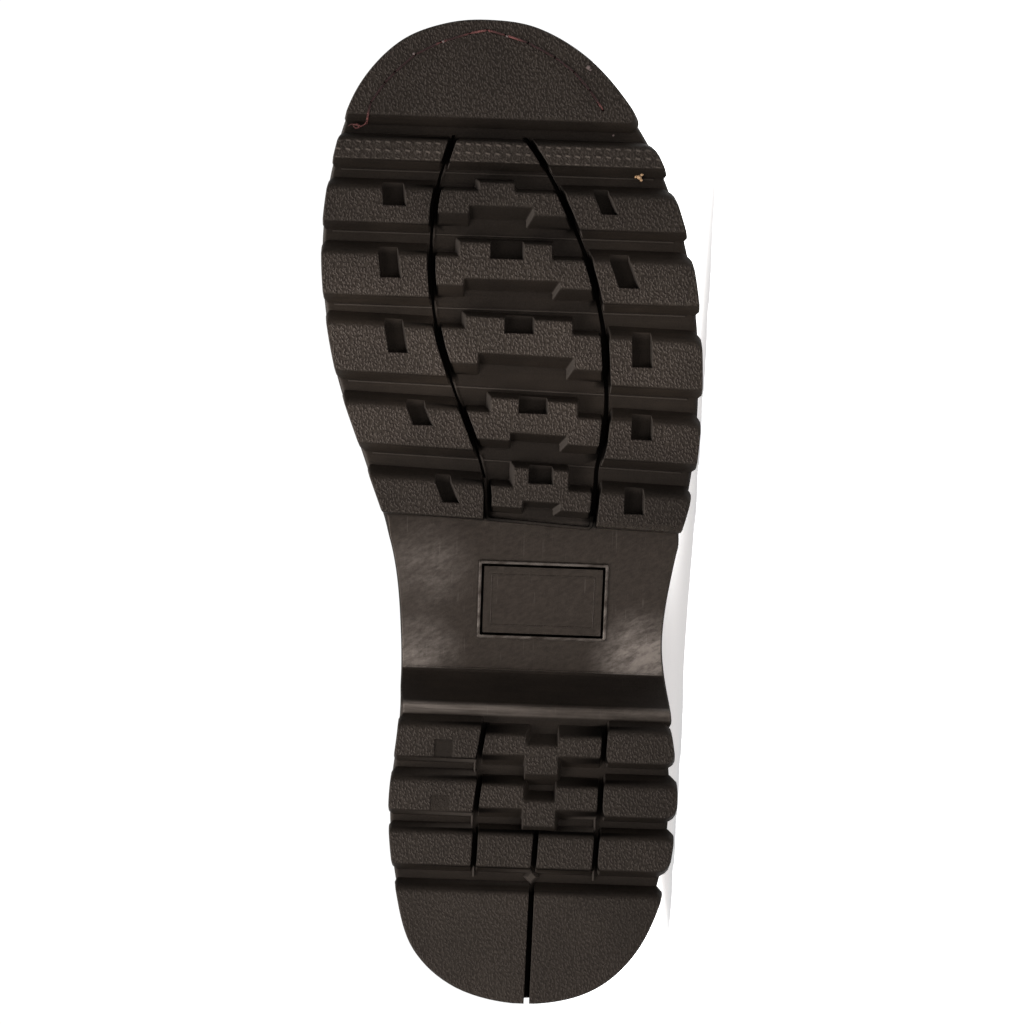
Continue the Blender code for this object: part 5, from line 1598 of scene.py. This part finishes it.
def make_thread(name, dark, light, twist, highlights=(), highlight_tint=None):
    """Twisted thread, with painted highlights at some places."""
    m = Look(name, IOR=1.45, Specular_IOR_Level=0.15)
    inputs = {"Vector": m.place, "Scale": twist, "Distortion": 1.5, "Detail": 2.0}
    ply = m.node("TexWave", inputs, bands_direction="DIAGONAL").outputs["Fac"]
    m.bump(ply, 0.08)
    colour = m.blend(ply, dark, light)
    # Painted highlight: the thread is tinted lighter about each listed place
    for x, y, reach in highlights:
        colour = m.blend(m.mul(m.spot((x, y), reach), ply), colour, highlight_tint)
    m.feed(Base_Color=colour, Roughness=m.ramp(ply, 0.0, 1.0, 0.75, 0.6))
    return m.material


rubber = make_rubber()
vamp_leather = make_leather(
    "oiled_leather_foot", (0.052, 0.021, 0.0095, 1.0), (0.084, 0.036, 0.0165, 1.0), 0.75, 0.16)
shaft_leather = make_leather(
    "oiled_leather_shaft", (0.06, 0.025, 0.0115, 1.0), (0.096, 0.042, 0.0195, 1.0), 0.62, 0.2)
strap_leather = make_leather(
    "strap_leather", (0.036, 0.016, 0.008, 1.0), (0.058, 0.026, 0.013, 1.0), 0.9, 0.12)
lining = make_matt(
    "lining", (0.22, 0.14, 0.08, 1.0), (0.30, 0.20, 0.12, 1.0), (1.6, 5.0, 0.7), 0.22, (0.78, 0.95),
    (0.05, 0.35, 0.7), IOR=1.45, Sheen_Weight=0.25)
edge_leather = make_matt(
    "welt_edge", (0.055, 0.028, 0.016, 1.0), (0.095, 0.047, 0.025, 1.0), (1.1, 5.0, 0.65), 0.15,
    (0.42, 0.62), (0.08, 0.35, 0.65), IOR=1.46)
seam_thread = make_thread("seam_thread", (0.20, 0.14, 0.075, 1.0), (0.33, 0.24, 0.14, 1.0), 1.6)
toe_thread = make_thread(
    "toe_thread", (0.0022, 0.0007, 0.0006, 1.0), (0.017, 0.004, 0.0034, 1.0), 1.8, THREAD_HIGHLIGHTS,
    (0.115, 0.038, 0.033, 1.0))
crumb_tan, crumb_pale = [
    make_matt(name, dark, light, (2.5, 4.0), 0.2, (0.6, 0.9), IOR=1.45) for name, dark, light in (
        ("crumb_tan", (0.07, 0.035, 0.014, 1.0), (0.30, 0.18, 0.09, 1.0)),
        ("crumb_pale", (0.02, 0.013, 0.011, 1.0), (0.07, 0.045, 0.04, 1.0)))]

# Pieces
finish_piece(mark_outsole(make_outsole()), [rubber], ["outsole"], 38.0)
finish_piece(make_welt(), [edge_leather], ["welt"], 50.0)
finish_piece(make_upper(), [shaft_leather, lining], ["upper"])
for panel, centre, rows, count in (("vamp", 0.0, VAMP_EDGE, 130), ("counter", math.pi, COUNTER_EDGE, 90)):
    overlay = make_overlay("boot_%s_overlay" % panel, centre, rows, count)
    finish_piece(overlay, [vamp_leather], [panel + "_overlay"])
for name, side in (("medial", MEDIAL), ("lateral", LATERAL)):
    strap = make_pull_loop("boot_pull_loop_" + name, side)
    finish_piece(strap, [strap_leather], ["pull_loop_" + name], 60.0)
finish_piece(make_seams(), [seam_thread])
finish_piece(make_toe_stitching(), [toe_thread])
finish_piece(make_crumbs(), [crumb_tan, crumb_pale])

footbed = Look("footbed", IOR=1.45)
footbed.place = footbed.node("TexCoord").outputs["Object"]
nap = footbed.noise(900.0, 4.0, 0.6)
footbed.bump(nap, 0.15)
tone_and_shade = footbed.blend(footbed.noise(30.0), (0.22, 0.145, 0.085, 1.0), (0.36, 0.26, 0.165, 1.0))
footbed.feed(Base_Color=tone_and_shade, Roughness=footbed.ramp(nap, 0.3, 0.7, 0.7, 0.9))
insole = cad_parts["insole"]
insole.data.materials.clear()
insole.data.materials.append(footbed.material)

# Floor and studio
FLOOR_REACH = 14.0
floor_mesh = bpy.data.meshes.new("floor")
corners = [(x * FLOOR_REACH, y * FLOOR_REACH, 0.0) for x, y in ((-1, -1), (1, -1), (1, 1), (-1, 1))]
floor_mesh.from_pydata(corners, [], [(0, 1, 2, 3)])
floor = bpy.data.objects.new("floor", floor_mesh)
floor.location.z = -0.0002
bpy.context.scene.collection.objects.link(floor)
paper = Look("white_paper", Roughness=0.8, Emission_Strength=0.6)
paper.place = paper.node("TexCoord").outputs["Object"]
paper.feed(Base_Color=paper.blend(paper.noise(2.0), (0.88, 0.88, 0.88, 1.0), (0.92, 0.92, 0.92, 1.0)))
floor_mesh.materials.append(paper.material)

world = bpy.data.worlds.new("studio")
bpy.context.scene.world = world
world.use_nodes = True
sky = Graph(world.node_tree)
toward = sky.parts(sky.node("TexCoord").outputs["Generated"])
glow = sky.add(sky.ramp(toward[1], -0.1, 0.4, 0.06, 1.05), sky.ramp(toward[2], 0.45, 0.85, 0.0, 1.2))
background = world.node_tree.nodes["Background"]
sky.tree.links.new(glow, background.inputs["Strength"])
background.inputs["Color"].default_value = (1.0, 1.0, 1.0, 1.0)


def add_light(name, place, target, size, power):
    """Square or oblong lamp that looks at a target."""
    data = bpy.data.lights.new(name, "AREA")
    data.shape = "RECTANGLE"
    data.size, data.size_y = size
    data.energy = power
    lamp = bpy.data.objects.new(name, data)
    lamp.location = place
    lamp.rotation_mode = "QUATERNION"
    lamp.rotation_quaternion = (Vector(target) - Vector(place)).to_track_quat("-Z", "Y")
    bpy.context.scene.collection.objects.link(lamp)


SOLE_MIDDLE = (0.0, -0.15, 0.057)
add_light("key", (-0.8, -1.15, 1.15), SOLE_MIDDLE, (0.7, 0.7), 62.0)
add_light("overhead", (0.2, -0.7, 1.9), (0.1, -0.5, 0.0), (1.6, 1.6), 16.0)

# Camera straight under the sole, rolled so that the toe is up
DISTANCE = 1050.0
VIEW_WIDTH = 315.5
LEAN = math.radians(2.0)
SIGHT = Vector((151.5, -10.3, 0.0))
ahead = LAY_DOWN.to_3x3() @ Vector((0.0, 0.0, 1.0))
up = LAY_DOWN.to_3x3() @ Vector((math.cos(LEAN), -math.sin(LEAN), 0.0))
right = ahead.cross(up)
data = bpy.data.cameras.new("camera")
data.sensor_width = 36.0
data.lens = data.sensor_width * DISTANCE / VIEW_WIDTH
data.clip_start = 0.05
data.clip_end = 60.0
camera = bpy.data.objects.new("camera", data)
camera.matrix_world = Matrix.Translation(TO_FRAME @ (SIGHT - Vector((0.0, 0.0, DISTANCE)))) @ Matrix(
    (right, up, -ahead)).transposed().to_4x4()
bpy.context.scene.collection.objects.link(camera)
bpy.context.scene.camera = camera
bpy.context.scene.view_settings.view_transform = "Standard"
